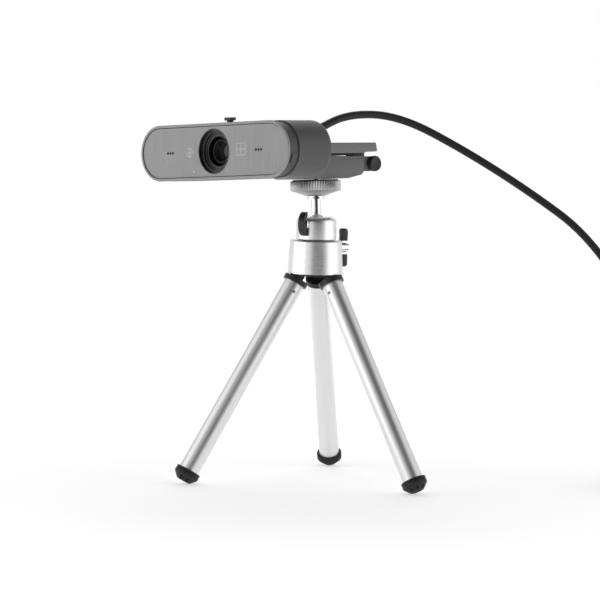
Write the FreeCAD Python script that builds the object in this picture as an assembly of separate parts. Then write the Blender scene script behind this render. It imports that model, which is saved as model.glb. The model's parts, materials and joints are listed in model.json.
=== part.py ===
import FreeCAD
import Part
import os
from math import cos, pi, radians, sin, sqrt, tan

V = FreeCAD.Vector
UP = V(0, 0, 1)
NORTH = V(0, 1, 0)
EAST = V(1, 0, 0)

# A webcam on a mini tripod. Millimetres, +Z up, the floor at Z = 0. The lens looks along -Y.
# Everything is drawn about the tripod's own axis, and moved at the end so that the
# middle of the standing object's box is on the Z axis.

# Tripod legs
leg_spread = 30.0  # from vertical, where the leg's collar rests against the housing's rim
leg_turn = 7.2  # the heading of the first leg
leg_fold = 29.4  # how far a leg folds in
tube_r = 5.2
tube_wall = 0.8
hinge_in = 6.3  # in from the housing's outer face
hinge_z = 107.5
hinge_pin_r = 1.0
hinge_pin_len = 9.6
collar_r = 6.4
collar_at = 4.5  # from the hinge, along the leg
collar_len = 2.6
tongue_w = 4.0
tongue_r = 2.5
plug_len = 14.0
rivet_r = 0.8
rivet_at = 11.5
foot_r = 6.5
foot_face_r = 3.5
foot_band = 3.1
foot_grip = 2.4

# Lower housing and what turns in it
housing_r = 14.0
housing_top_r = 13.2
housing_z = 106.5
housing_h = 16.9
housing_wall = 1.4
housing_lid = 4.2
spider_drop = 1.0
spider_h = 6.4
spider_screw_r = 1.1
spider_screw_at = 9.0
spider_screw_len = 11.2
spindle_r = 4.0
bushing_r = 6.2
bushing_h = 5.0
washer_h = 1.2
neck_r = 3.1

# Ball head
socket_r = 10.15
socket_h = 11.8
socket_round = 1.6
socket_floor = 0.8
ball_r = 5.6
mouth_r = 4.6
mouth_top_r = 6.3
shoe_t = 1.1
shoe_top = 2.8  # the seat's rim below the ball's centre
shoe_swing = 0.8  # how far above the centre the rim can swing
stem_r = 2.4
head_lean = 4.0  # how far the ball leans sideways, towards -X
stem_len = 12.9
flange_r = 4.4
flange_h = 1.2
stud_r = 3.1
stud_up = 5.4
thread_pitch = 1.27

# Thumb disc
disc_r = 12.9
disc_h = 5.0
cone_h = 3.1
cone_r = 4.6
knurl_count = 48
knurl_depth = 0.45
pad_r = 11.6
pad_h = 0.9

# Wing screws
wing_screw_r = 2.0
ball_lock_turn = 283.0
ball_lock_up = 0.6  # above the ball's centre
ball_wing_h = 11.8
ball_wing_d = 2.9
pan_lock_turn = 81.0
pan_lock_up = 12.9  # above the housing's rim
pan_wing_h = 19.6
pan_wing_d = 3.7

# Clip
clip_w = 22.0
block_rear = 24.4
block_front = 26.0
block_h = 11.4
block_rise = 1.8
rear_axis_y = 33.2
rear_axis_up = 7.4
rear_pin_r = 1.2
cap_r = 4.0
cap_t = 3.0
knuckle_w = 5.6
arm_gap = 1.35
arm_h = 5.4
arm_end = 34.4
arm_pad_t = 0.8
tilt_axis_y = 33.4
tilt_pin_r = 1.2
tilt_ear_w = 8.0

# Webcam
cam_w = 108.0
cam_h = 28.0
cam_depth = 30.5
cam_front = 70.0
cam_lift = 14.3  # the middle of the webcam above the rubber pad
shell_t = 1.8
rear_wall = 2.0
rear_round = 2.4
bezel_d = 1.2
bezel_t = 1.3
panel_in = 0.5
panel_back = 2.0
band_end = 7.6
band_in = 0.7
band_t = 1.7
lens_r = 11.3
lens_steps = ((2.4, 9.4), (3.5, 8.4), (3.9, 7.3))  # depth of each step and the hole in it
ring_back = 4.3
barrel_r = 6.1
barrel_front = 5.3
barrel_len = 10.2
glass_r = 3.6
glass_in = 3.2
glass_t = 1.8
glass_rise = 0.7
holder_w = 17.0
holder_t = 4.4
holder_floor = 1.6
filter_w = 10.4
board_t = 1.2
board_behind = 0.8  # behind the sensor's board
board_hole_x = 34.0
sensor_w = 7.2
mic_x = 32.2
mic_hole_r = 0.75
mic_pitch = 1.85
light_x = -15.1
light_z = -9.6
light_r = 0.6
blade_at = 4.6
blade_t = 0.4
blade_hole_r = 7.4
blade_rim = 1.2
slide_travel = 15.0
lever_at = 12.0  # behind the webcam's face
lever_w = 4.6
lever_d = 3.7
lever_h = 1.5
lever_up = 1.3
stalk_w = 2.4
gland_x = 15.0
gland_up = 4.0

# Cable
cable_r = 2.0
coil_r = 24.0
coil_bundle = 6.0
coil_x = 128.0
coil_y = 132.0
plug_w = 12.0
plug_t = 4.5
tail_y = 27.0
tail_x = 17.4
tail_len = 6.0
shell_len = 12.0
grip_w = 15.0
grip_t = 8.0
grip_len = 26.0

# Clearances
run = 0.05  # radial, where a shaft turns in a bore
gap = 0.35  # between any two pieces that move past each other

# Places that follow from the sizes above
hinge_r = housing_r - hinge_in
socket_z = housing_z + housing_h + gap
ball_z = socket_z + socket_floor + shoe_t + ball_r + 2 * run
disc_z = ball_z + stem_len + flange_h
pad_z = disc_z + cone_h + disc_h
deck_z = pad_z + pad_h
arm_z = deck_z + block_h + arm_gap
cam_z = deck_z + cam_lift
cam_rear = cam_front - cam_depth
tilt_z = arm_z + arm_h / 2
rear_axis_z = deck_z + rear_axis_up
holder_front = barrel_front + barrel_len + 1.0
sensor_back = holder_front + holder_t
board_front = sensor_back + board_t + board_behind
board_back = cam_depth - rear_wall - board_front
leg_len = (hinge_z - foot_face_r * sin(radians(leg_spread))) / cos(radians(leg_spread))


def rod(r, h, at=V(0, 0, 0), along=UP):
    return Part.makeCylinder(r, h, at, along)


def block(x, y, z):
    """A box from three pairs of limits."""
    size = (x[1] - x[0], y[1] - y[0], z[1] - z[0])
    return Part.makeBox(*size, V(x[0], y[0], z[0]))


def lathe(points):
    """A solid of revolution about Z from (radius, height) points."""
    outline = Part.makePolygon([V(r, 0, z) for r, z in [*points, points[0]]])
    return Part.Face(outline).revolve(V(0, 0, 0), UP, 360)


def fuse(first, *rest):
    return first.fuse(list(rest)).removeSplitter()


def group(solids):
    return Part.makeCompound(solids)


def placed(shape, angle=0.0, about=V(0, 0, 0), axis=UP, by=V(0, 0, 0)):
    """A copy that is turned, then moved."""
    copy = shape.copy()
    copy.rotate(about, axis, angle)
    copy.translate(by)
    return copy


def leaned(shape):
    """A piece above the ball, tipped with it."""
    return placed(shape, -head_lean, V(0, 0, ball_z), NORTH)


def leaned_point(point):
    return FreeCAD.Rotation(NORTH, -head_lean).multVec(point - V(0, 0, ball_z)) + V(0, 0, ball_z)


def stadium(inset, near, far):
    """The webcam's outline, a bar with round ends, between two depths behind its face."""
    r = cam_h / 2 - inset
    half = (cam_w - cam_h) / 2
    y = -cam_front + near
    low, high = V(half, y, cam_z - r), V(half, y, cam_z + r)
    right = Part.Arc(low, V(half + r, y, cam_z), high).toShape()
    top = Part.makeLine(high, V(-half, y, cam_z + r))
    left = Part.Arc(V(-half, y, cam_z + r), V(-half - r, y, cam_z), V(-half, y, cam_z - r)).toShape()
    bottom = Part.makeLine(V(-half, y, cam_z - r), low)
    return Part.Face(Part.Wire([right, top, left, bottom])).extrude(V(0, far - near, 0))


def in_lens(shape):
    """A piece turned about Z put on the lens axis, its +Z pointing into the webcam."""
    return placed(placed(shape, -90, axis=EAST), by=V(0, -cam_front, cam_z))


# Tripod hub
def make_housing():
    top = housing_z + housing_h
    inside_r = housing_r - housing_wall
    shell = lathe(
        [
            (0, housing_z),
            (housing_r, housing_z),
            (housing_top_r, top - 0.5),
            (housing_top_r - 0.5, top),
            (0, top),
        ]
    )
    cavity = rod(inside_r - 0.5, housing_h - housing_lid, V(0, 0, housing_z))
    recess = rod(inside_r, spider_h - spider_drop, V(0, 0, housing_z))
    bore = rod(spindle_r + run, housing_lid, V(0, 0, top - housing_lid))
    lock = rod(wing_screw_r + run, housing_r, V(0, 0, housing_z + pan_lock_up), EAST)
    lock = placed(lock, pan_lock_turn)
    boss = rod(bushing_r, bushing_h, V(0, 0, top - housing_lid - bushing_h))
    seat = rod(spindle_r + run, bushing_h, V(0, 0, top - housing_lid - bushing_h))
    low = housing_z - spider_drop + spider_h
    post = rod(2 * spider_screw_r, top - housing_lid - low, V(spider_screw_at, 0, low))
    posts = at_screws(post)
    body = fuse(shell.cut([cavity, recess]), boss, *posts)
    return body.cut([bore, seat, lock, *at_screws(make_hub_screw(False))])


def at_screws(shape):
    return [placed(shape, leg_turn + 60 + 120 * i) for i in range(3)]


def make_hub_screw(slotted=True):
    low = housing_z - spider_drop
    shank = rod(spider_screw_r, spider_screw_len, V(spider_screw_at, 0, low))
    head = Part.makeCone(2.1, spider_screw_r, 1.0, V(spider_screw_at, 0, low), UP)
    drive = block((spider_screw_at - 1, spider_screw_at + 1), (-0.25, 0.25), (low, low + 0.5))
    screw = fuse(shank, head)
    return screw.cut(drive) if slotted else screw


def make_spider():
    low = housing_z - spider_drop
    body = rod(housing_r - housing_wall - run, spider_h, V(0, 0, low))
    slot_w = tongue_w / 2 + gap
    slot_in = hinge_r - tongue_r - gap
    cuts = [rod(1.5, spider_h, V(0, 0, low))]
    for i in range(3):
        turn = leg_turn + 120 * i
        slot = block((slot_in, housing_r), (-slot_w, slot_w), (low, hinge_z + tongue_r + gap))
        pin = rod(hinge_pin_r, hinge_pin_len, V(hinge_r, -hinge_pin_len / 2, hinge_z), NORTH)
        cuts += [placed(slot, turn), placed(pin, turn)]
    return body.cut([*cuts, *at_screws(make_hub_screw(False))])


def make_hinge_pins():
    pin = rod(hinge_pin_r, hinge_pin_len, V(hinge_r, -hinge_pin_len / 2, hinge_z), NORTH)
    return group([placed(pin, leg_turn + 120 * i) for i in range(3)])


def make_hub_screws():
    return group(at_screws(make_hub_screw()))


# Legs, drawn hanging straight down from a hinge at the origin
def stand(shape, i):
    """A leg's piece, spread and put on its hinge."""
    spread = placed(shape, -leg_spread, axis=NORTH, by=V(hinge_r, 0, hinge_z))
    return placed(spread, leg_turn + 120 * i)


def make_knuckle():
    tongue = rod(tongue_r, tongue_w, V(0, -tongue_w / 2, 0), NORTH)
    neck = block((-tongue_r, tongue_r), (-tongue_w / 2, tongue_w / 2), (-collar_at, 0))
    collar = rod(collar_r, collar_len, V(0, 0, -collar_at - collar_len))
    plug = rod(tube_r - tube_wall, plug_len, V(0, 0, -collar_at - collar_len - plug_len))
    pin = rod(hinge_pin_r + run, tongue_w, V(0, -tongue_w / 2, 0), NORTH)
    rivet = rod(rivet_r, 2 * tube_r, V(0, -tube_r, -rivet_at), NORTH)
    return fuse(tongue, neck, collar, plug).cut([pin, rivet])


def make_tube():
    top = collar_at + collar_len
    length = leg_len - top - foot_band - (foot_r - foot_face_r) + foot_grip
    tube = rod(tube_r, length, V(0, 0, -top - length))
    inside = rod(tube_r - tube_wall, length, V(0, 0, -top - length))
    rivet = rod(rivet_r, 2 * tube_r, V(0, -tube_r, -rivet_at), NORTH)
    return tube.cut([inside, rivet])


def make_rivet():
    return rod(rivet_r, 2 * tube_r + 0.3, V(0, -tube_r - 0.15, -rivet_at), NORTH)


def make_foot():
    tip = -leg_len
    chamfer = foot_r - foot_face_r
    body = lathe(
        [
            (0, tip),
            (foot_face_r, tip),
            (foot_r, tip + chamfer),
            (foot_r, tip + chamfer + foot_band),
            (0, tip + chamfer + foot_band),
        ]
    )
    seat = rod(tube_r, foot_grip, V(0, 0, tip + chamfer + foot_band - foot_grip))
    return body.cut(seat)


# Ball head
def make_socket():
    top = socket_z + socket_h
    body = rod(socket_r, socket_h, V(0, 0, socket_z))
    rim = [e for e in body.Edges if abs(e.BoundBox.ZMin - top) < 0.01 and len(e.Vertexes) < 2]
    body = body.makeFillet(socket_round, rim[:1])
    centre = V(0, 0, ball_z)
    upper = Part.makeSphere(ball_r + run, centre)
    bowl = Part.makeSphere(ball_r + run + shoe_t + run, centre)
    bowl = bowl.common(rod(socket_r, socket_h, V(0, 0, ball_z + shoe_swing - socket_h)))
    mouth_z = ball_z + sqrt(ball_r**2 - mouth_r**2)
    mouth = Part.makeCone(mouth_r, mouth_top_r, top - mouth_z, V(0, 0, mouth_z), UP)
    throat = rod(mouth_r, mouth_z - ball_z, V(0, 0, ball_z))
    lock = rod(wing_screw_r + run, socket_r, V(0, 0, ball_z + ball_lock_up), EAST)
    lock = placed(lock, ball_lock_turn)
    neck = rod(neck_r, socket_floor + 1, V(0, 0, socket_z))
    return body.cut([upper, bowl, mouth, throat, lock, neck])


def make_spindle():
    low = housing_z + housing_h - housing_lid - bushing_h - gap - washer_h
    neck = rod(neck_r, socket_floor - gap, V(0, 0, socket_z))
    shaft = rod(spindle_r, socket_z - low, V(0, 0, low))
    washer = rod(spindle_r + 1.4, washer_h, V(0, 0, low))
    groove_z = housing_z + pan_lock_up - wing_screw_r - 0.6
    groove = rod(spindle_r + 1, 2 * wing_screw_r + 1.2, V(0, 0, groove_z))
    groove = groove.cut(rod(spindle_r - 0.7, 2 * wing_screw_r + 1.2, V(0, 0, groove_z)))
    drive = block((-3, 3), (-0.4, 0.4), (low, low + 0.6))
    return fuse(shaft.cut(groove), neck, washer).cut(drive)


def make_shoe():
    centre = V(0, 0, ball_z)
    outer = Part.makeSphere(ball_r + run + shoe_t, centre)
    outer = outer.common(rod(socket_r, socket_h, V(0, 0, ball_z - shoe_top - socket_h)))
    inner = Part.makeSphere(ball_r + run, centre)
    hole = rod(2.0, socket_h, V(0, 0, ball_z - socket_h))
    return outer.cut([inner, hole])


def make_ball_stem():
    ball = Part.makeSphere(ball_r, V(0, 0, ball_z))
    stem = rod(stem_r, stem_len, V(0, 0, ball_z))
    flange = rod(flange_r, flange_h, V(0, 0, ball_z + stem_len))
    stud = rod(stud_r, deck_z + stud_up - disc_z, V(0, 0, disc_z))
    tip = Part.makeCone(stud_r, stud_r - 0.6, 0.6, V(0, 0, deck_z + stud_up), UP)
    thread = []
    for i in range(4):
        z = deck_z + 0.7 + i * thread_pitch
        ring = rod(stud_r + 0.1, 0.35, V(0, 0, z)).cut(rod(stud_r - 0.35, 0.35, V(0, 0, z)))
        thread.append(ring)
    return leaned(fuse(ball, stem, flange, stud, tip).cut(thread))


def make_disc():
    profile = [
        (stud_r + run, disc_z + gap),
        (cone_r, disc_z + gap),
        (disc_r - 0.5, disc_z + cone_h),
        (disc_r, disc_z + cone_h + 0.4),
        (disc_r, pad_z - 0.5),
        (disc_r - 0.5, pad_z),
        (stud_r + run, pad_z),
    ]
    body = lathe(profile)
    notch = rod(knurl_depth, disc_h + 1, V(disc_r + 0.05, 0, pad_z - disc_h))
    notches = [placed(notch, 360 * i / knurl_count) for i in range(knurl_count)]
    return leaned(body.cut(notches))


def make_disc_pad():
    return leaned(rod(pad_r, pad_h - gap, V(0, 0, pad_z)).cut(rod(stud_r + 0.4, pad_h, V(0, 0, pad_z))))


# Wing screws, drawn along +X from the axis of what they lock
def make_lock_screw(tip, shoulder, height, depth, z):
    """A chrome screw with a collar, and a flat core that the plastic wing is moulded round."""
    collar = rod(wing_screw_r + 0.6, 1.1 + depth, V(shoulder, 0, z), EAST)
    shank = rod(wing_screw_r, shoulder - tip, V(tip, 0, z), EAST)
    core_x = (shoulder + 1.9, shoulder + 1.1 + depth - 0.8)
    core = block(core_x, (-0.8, 0.8), (z - height / 2 + 2.0, z + height / 2 - 2.0))
    return fuse(collar, shank, core)


def make_wing(shoulder, height, depth, z, bare):
    """A plastic wing with round ends, over the screw's core. bare is the length left in metal."""
    inner, outer = shoulder + 1.1, shoulder + 1.1 + depth
    r = depth / 2
    reach = height / 2 - r
    wide = 1.7
    plate = block((inner, outer), (-wide, wide), (z - reach, z + reach))
    ends = [rod(r, 2 * wide, V(inner + r, -wide, z + s * reach), NORTH) for s in (-1, 1)]
    wing = fuse(plate, *ends)
    rims = [e for e in wing.Edges if abs(abs(e.BoundBox.Center.y) - wide) < 0.01]
    wing = wing.makeFillet(0.6, rims)
    middle = block((inner - 1, outer + 1), (-5, 5), (z - bare / 2, z + bare / 2))
    screw = make_lock_screw(shoulder - 1, shoulder, height, depth, z)
    return wing.cut([middle, screw])


# Clip
def make_clip_block():
    rear, front = block_rear, -block_front
    half = clip_w / 2
    low, high = deck_z, deck_z + block_h
    side = [
        V(-half, front, low + 4.0),
        V(-half, front + 8.0, low),
        V(-half, disc_r, low),
        V(-half, rear - 1.6, low + block_rise),
        V(-half, rear, low + block_rise + 1.6),
        V(-half, rear, high),
        V(-half, front, high),
    ]
    body = Part.Face(Part.makePolygon([*side, side[0]])).extrude(V(clip_w, 0, 0))
    insert = rod(5.0, 8.0, V(0, 0, low))
    lug_x = knuckle_w / 2 + gap
    cap_x = half - cap_t
    lugs = []
    for x in ((lug_x, cap_x), (-cap_x, -lug_x)):
        ear = rod(cap_r - 0.2, x[1] - x[0], V(x[0], rear_axis_y, rear_axis_z), EAST)
        arm = block(x, (rear - 1.0, rear_axis_y), (rear_axis_z - cap_r + 0.2, rear_axis_z + cap_r - 0.2))
        lugs += [ear, arm]
    bore = rod(rear_pin_r, clip_w, V(-half, rear_axis_y, rear_axis_z), EAST)
    return leaned(fuse(body, *lugs).cut([insert, bore]))


def make_insert():
    insert = rod(5.0, 8.0, V(0, 0, deck_z)).cut(rod(stud_r + run, 8.0, V(0, 0, deck_z)))
    grooves = []
    for z in (2.2, 5.0):
        ring = rod(5.1, 0.6, V(0, 0, deck_z + z)).cut(rod(4.6, 0.6, V(0, 0, deck_z + z)))
        grooves.append(ring)
    return leaned(insert.cut(grooves))


def make_rear_pin():
    half = clip_w / 2 - 1.0
    return leaned(rod(rear_pin_r, 2 * half, V(-half, rear_axis_y, rear_axis_z), EAST))


def make_pin_caps():
    half = clip_w / 2
    caps = []
    for x, way in ((half - cap_t, 1), (cap_t - half, -1)):
        cap = rod(cap_r, cap_t, V(x, rear_axis_y, rear_axis_z), EAST * way)
        outer = [e for e in cap.Edges if len(e.Vertexes) < 2 and abs(e.BoundBox.Center.x - way * half) < 0.01]
        cap = cap.makeFillet(0.5, outer)
        caps.append(leaned(cap.cut(rod(rear_pin_r, cap_t - 1, V(x, rear_axis_y, rear_axis_z), EAST * way))))
    return group(caps)


def make_clip_arm():
    half = clip_w / 2
    front = -tilt_axis_y
    low, high = arm_z, arm_z + arm_h
    bar_front = front + arm_h / 2 + 2.6
    side = [
        V(-half, bar_front, low),
        V(-half, block_rear + 0.4, low),
        V(-half, block_rear + 2.4, low + 0.8),
        V(-half, arm_end, low + 0.8),
        V(-half, arm_end - 0.9, high),
        V(-half, bar_front, high),
    ]
    bar = Part.Face(Part.makePolygon([*side, side[0]])).extrude(V(clip_w, 0, 0))
    cheek_x = tilt_ear_w / 2 + gap
    cheeks = []
    for x in (cheek_x, -half):
        width = half - cheek_x
        cheeks.append(block((x, x + width), (front, bar_front), (low, high)))
        cheeks.append(rod(arm_h / 2, width, V(x, front, tilt_z), EAST))
    knuckle = rod(cap_r - 0.6, knuckle_w, V(-knuckle_w / 2, rear_axis_y, rear_axis_z), EAST)
    x = (-knuckle_w / 2, knuckle_w / 2)
    neck = block(x, (block_rear + gap + 0.2, rear_axis_y - 0.4), (rear_axis_z, low + 2.0))
    rear_bore = rod(rear_pin_r + run, clip_w, V(-half, rear_axis_y, rear_axis_z), EAST)
    tilt_bore = rod(tilt_pin_r, clip_w, V(-half, front, tilt_z), EAST)
    return leaned(fuse(bar, *cheeks, knuckle, neck).cut([rear_bore, tilt_bore]))


def make_arm_pad():
    half = clip_w / 2 - 0.6
    front = -tilt_axis_y + arm_h / 2 + 4.0
    return leaned(block((-half, half), (front, block_rear - 0.6), (arm_z - arm_pad_t, arm_z)))


def make_tilt_pin():
    half = clip_w / 2
    return leaned(rod(tilt_pin_r, 2 * half, V(-half, -tilt_axis_y, tilt_z), EAST))


# Webcam
def make_cam_housing():
    outer = stadium(0, band_end, cam_depth)
    rear = [e for e in outer.Edges if abs(e.BoundBox.YMin + cam_rear) < 0.01 and e.BoundBox.YLength < 0.01]
    outer = outer.makeFillet(rear_round, rear)
    inner = stadium(shell_t, band_end, cam_depth - rear_wall)
    slot = block(
        (-slide_travel - stalk_w / 2 - gap, stalk_w / 2 + gap),
        (-cam_front + lever_at - stalk_w / 2 - gap, -cam_front + lever_at + stalk_w / 2 + gap),
        (cam_z, cam_z + cam_h),
    )
    gland = rod(3.2, rear_wall + 1, V(gland_x, -cam_rear - rear_wall - 0.5, cam_z + gland_up), NORTH)
    body = outer.cut([inner, slot, gland])
    bosses = []
    for x in (-board_hole_x, board_hole_x):
        boss = rod(2.6, board_back - board_t, V(x, -cam_rear - rear_wall, cam_z), V(0, -1, 0))
        bosses.append(boss.cut(rod(0.9, board_back, V(x, -cam_rear - rear_wall, cam_z), V(0, -1, 0))))
    return leaned(fuse(body, *bosses))


def make_trim_band():
    outer = stadium(band_in, panel_back, band_end)
    inner = stadium(band_in + band_t, panel_back, band_end)
    return leaned(outer.cut(inner))


def make_side_tab():
    skin = stadium(0.15, panel_back + 1.2, band_end - 1.2).cut(stadium(band_in - 0.03, 0, band_end))
    reach = block((cam_w / 4, cam_w), (-cam_front, 0), (cam_z - 7.1, cam_z - 2.6))
    return leaned(skin.common(reach))


def make_bezel():
    ring = stadium(0, 0, bezel_d)
    front = [e for e in ring.Edges if e.BoundBox.YMax < -cam_front + 0.01]
    ring = ring.makeFillet(0.45, front)
    return leaned(ring.cut(stadium(bezel_t, 0, bezel_d)))


def make_face_panel():
    plate = stadium(bezel_t, panel_in, panel_back)
    holes = [in_lens(rod(lens_r, panel_back))]
    for side in (-1, 1):
        for i in (-1, 0, 1):
            hole = rod(mic_hole_r, panel_back)
            holes.append(placed(in_lens(hole), by=V(side * mic_x + i * mic_pitch, 0, 0)))
    holes.append(placed(in_lens(rod(light_r, panel_back)), by=V(light_x, 0, light_z)))
    return leaned(plate.cut(holes))


def make_lens_ring():
    outline = [(lens_r, panel_in), (lens_r, ring_back), (lens_steps[-1][1], ring_back)]
    depth, inner = lens_steps[-1]
    outline.append((inner, depth))
    for (d, r), (_, shallower_r) in zip(reversed(lens_steps[:-1]), reversed(lens_steps[1:])):
        outline += [(r, depth), (r, d)]
        depth = d
    outline += [(lens_r - 0.6, depth), (lens_r - 0.6, panel_in)]
    return leaned(in_lens(lathe(outline)))


def make_lens_barrel():
    back = barrel_front + barrel_len
    body = lathe(
        [
            (barrel_r - 0.6, barrel_front),
            (barrel_r, barrel_front + 0.3),
            (barrel_r, back),
            (glass_r - 0.8, back),
            (glass_r - 0.8, barrel_front + glass_in + glass_t),
            (glass_r, barrel_front + glass_in + glass_t),
            (glass_r, barrel_front + glass_in),
            (barrel_r - 1.2, barrel_front + 0.2),
        ]
    )
    return leaned(in_lens(body))


def make_front_glass():
    low = barrel_front + glass_in
    curve = (glass_r**2 + glass_rise**2) / (2 * glass_rise)
    dome = Part.makeSphere(curve, V(0, 0, low - glass_rise + curve + 0.3))
    return leaned(in_lens(dome.common(rod(glass_r, glass_t + 1, V(0, 0, low - 1)))))


def make_lens_holder():
    front, back = holder_front, sensor_back
    half, inside = holder_w / 2, holder_w / 2 - 1.4
    base = block((-half, half), (-half, half), (front, back))
    collar = rod(barrel_r + 1.2, front - barrel_front - 3.0, V(0, 0, barrel_front + 3.0))
    bore = rod(barrel_r, front - barrel_front, V(0, 0, barrel_front))
    floor = rod(barrel_r - 1.5, 2, V(0, 0, front - 0.5))
    body = base.fuse(collar).cut([bore, floor])
    pocket = block((-inside, inside), (-inside, inside), (front + holder_floor, back))
    return leaned(in_lens(body.cut(pocket)))


def make_ir_filter():
    half, low = filter_w / 2, holder_front + holder_floor
    return leaned(in_lens(block((-half, half), (-half, half), (low, low + 0.5))))


def make_image_sensor():
    half = sensor_w / 2
    return leaned(in_lens(block((-half, half), (-half, half), (sensor_back - 1.0, sensor_back))))


def make_sensor_board():
    half = holder_w / 2 + 2
    return leaned(in_lens(block((-half, half), (-holder_w / 2, holder_w / 2), (sensor_back, sensor_back + board_t))))


def make_main_board():
    half = board_hole_x + 5
    tall = cam_h / 2 - shell_t - 3
    plate = block((-half, half), (-tall, tall), (board_front, board_front + board_t))
    chips = [
        block((8, 18), (-5, 5), (board_front + board_t, board_front + board_t + 1.0)),
        block((-20, -13), (-4, 3), (board_front + board_t, board_front + board_t + 0.9)),
        block((-9, 0), (3, 8), (board_front + board_t, board_front + board_t + 1.4)),
        block((20, 26), (-8, -4), (board_front + board_t, board_front + board_t + 1.4)),
    ]
    holes = [rod(1.0, cam_depth, V(x, 0, 0)) for x in (-board_hole_x, board_hole_x)]
    return leaned(in_lens(fuse(plate, *chips).cut(holes)))


def make_board_screws():
    screws = []
    for x in (-board_hole_x, board_hole_x):
        shank = rod(0.9, 4.0, V(x, 0, board_front))
        head = rod(1.8, 1.2, V(x, 0, board_front - 1.2))
        cross = block((x - 0.9, x + 0.9), (-0.2, 0.2), (board_front - 1.2, board_front - 0.7))
        screws.append(leaned(in_lens(fuse(shank, head).cut(cross))))
    return group(screws)


def make_mic_capsules():
    capsule = in_lens(rod(3.0, 2.2, V(0, 0, panel_back)))
    return group([leaned(placed(capsule, by=V(s * mic_x, 0, 0))) for s in (-1, 1)])


def make_light_pipe():
    pipe = rod(light_r, panel_back - panel_in - 0.1, V(0, 0, panel_in + 0.1))
    foot = rod(light_r + 0.7, 1.2, V(0, 0, panel_back))
    return leaned(placed(in_lens(fuse(pipe, foot)), by=V(light_x, 0, light_z)))


def make_tilt_bracket():
    half = tilt_ear_w / 2
    axis = V(-half, -tilt_axis_y, tilt_z)
    plate = block((-half - 3, half + 3), (-cam_rear, -cam_rear + 1.6), (tilt_z - 6, tilt_z + 6))
    neck = block((-half, half), (-cam_rear, -tilt_axis_y), (tilt_z - arm_h / 2, tilt_z + arm_h / 2))
    ear = rod(arm_h / 2, tilt_ear_w, axis, EAST)
    return leaned(fuse(plate, neck, ear).cut(rod(tilt_pin_r + run, tilt_ear_w, axis, EAST)))


def make_cable_gland():
    at = V(gland_x, -cam_rear, cam_z + gland_up)
    flange = rod(4.2, 1.0, at, NORTH)
    inside = rod(3.2, rear_wall, at - V(0, rear_wall, 0), NORTH)
    sleeve = Part.makeCone(3.4, 2.7, 5.0, at + V(0, 1.0, 0), NORTH)
    return leaned(fuse(flange, inside, sleeve))


# Privacy shutter
def make_shutter_blade():
    top = cam_h / 2 - shell_t - 2.2
    half = blade_hole_r + blade_rim
    plate = block((-half, half + slide_travel), (-half, half), (blade_at, blade_at + blade_t))
    hole = rod(blade_hole_r, 2, V(0, 0, blade_at - 1))
    tab = block((-2.2, 2.2), (-top, blade_rim - half), (blade_at, blade_at + blade_t))
    bridge = block((-2.2, 2.2), (-top, -top + 0.8), (blade_at, lever_at + stalk_w / 2 + 0.6))
    return leaned(in_lens(fuse(plate, tab, bridge).cut(hole)))


def make_slider_lever():
    y = -cam_front + lever_at
    base = cam_z + cam_h / 2 - shell_t - 2.2
    top = cam_z + cam_h / 2 + lever_up
    stalk = block((-stalk_w / 2, stalk_w / 2), (y - stalk_w / 2, y + stalk_w / 2), (base, top))
    head = block((-lever_w / 2, lever_w / 2), (y - lever_d / 2, y + lever_d / 2), (top, top + lever_h))
    upper = [e for e in head.Edges if e.BoundBox.ZMin > top + lever_h - 0.01]
    return leaned(fuse(head.makeFillet(0.4, upper), stalk))


# Cable
def along(points, r):
    """A round tube down straight runs joined by tangent arcs. Prints the tightest bend."""
    edges, start, tightest = [], points[0], 1e9
    for before, corner, after in zip(points, points[1:], points[2:]):
        a, b = (before - corner), (after - corner)
        half_turn = (pi - a.getAngle(b)) / 2
        cut = 0.45 * min(a.Length, b.Length)
        tightest = min(tightest, cut / tan(half_turn))
        a.normalize()
        b.normalize()
        p, q = corner + a * cut, corner + b * cut
        middle = a + b
        middle.normalize()
        radius = cut / tan(half_turn)
        centre = corner + middle * sqrt(radius**2 + cut**2)
        edges.append(Part.makeLine(start, p))
        edges.append(Part.Arc(p, centre - middle * radius, q).toShape())
        start = q
    edges.append(Part.makeLine(start, points[-1]))
    spine = Part.Wire(edges)
    first = points[1] - points[0]
    ring = Part.Wire(Part.makeCircle(r, points[0], first))
    tube = spine.makePipeShell([ring], True, True)
    print(f"tube: length {spine.Length:.1f}, tightest bend {tightest:.1f}, volume {tube.Volume / (pi * r * r):.1f}")
    return tube


# From the gland over the top, and from above the coil down onto it
cable_rise = (
    (0.0, 41.0, 14.5),
    (6.0, 73.0, 13.5),
    (24.0, 104.0, -4.0),
    (44.0, 133.0, -27.0),
    (62.0, 158.0, -50.0),
)
cable_drop = (
    (-12.0, 14.0, 88.0),
    (-8.0, 22.0, 56.0),
    (-2.0, 22.0, 28.0),
    (0.0, 2.0, 14.4),
)


def cable_points():
    """The cable's corners, from the webcam to the coil on the floor."""
    start = leaned_point(V(gland_x, -cam_rear + 6.7, cam_z + gland_up))
    way = FreeCAD.Rotation(NORTH, -head_lean).multVec(NORTH)
    route = [start, start + way * 17 + V(0, 0, 5)]
    route += [start + V(x, y, z) for x, y, z in cable_rise]
    route += [V(coil_x - coil_r + x, coil_y + y, z) for x, y, z in cable_drop]
    return route


def make_cable():
    return along(cable_points(), cable_r)


def make_coil():
    return Part.makeTorus(coil_r, coil_bundle, V(coil_x, coil_y, coil_bundle))


# The loose end, pointing along -X from the coil
tail_end = V(coil_x - tail_x - tail_len, coil_y + tail_y, grip_t / 2)


def make_tail():
    return rod(cable_r, tail_len, tail_end, EAST)


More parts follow.
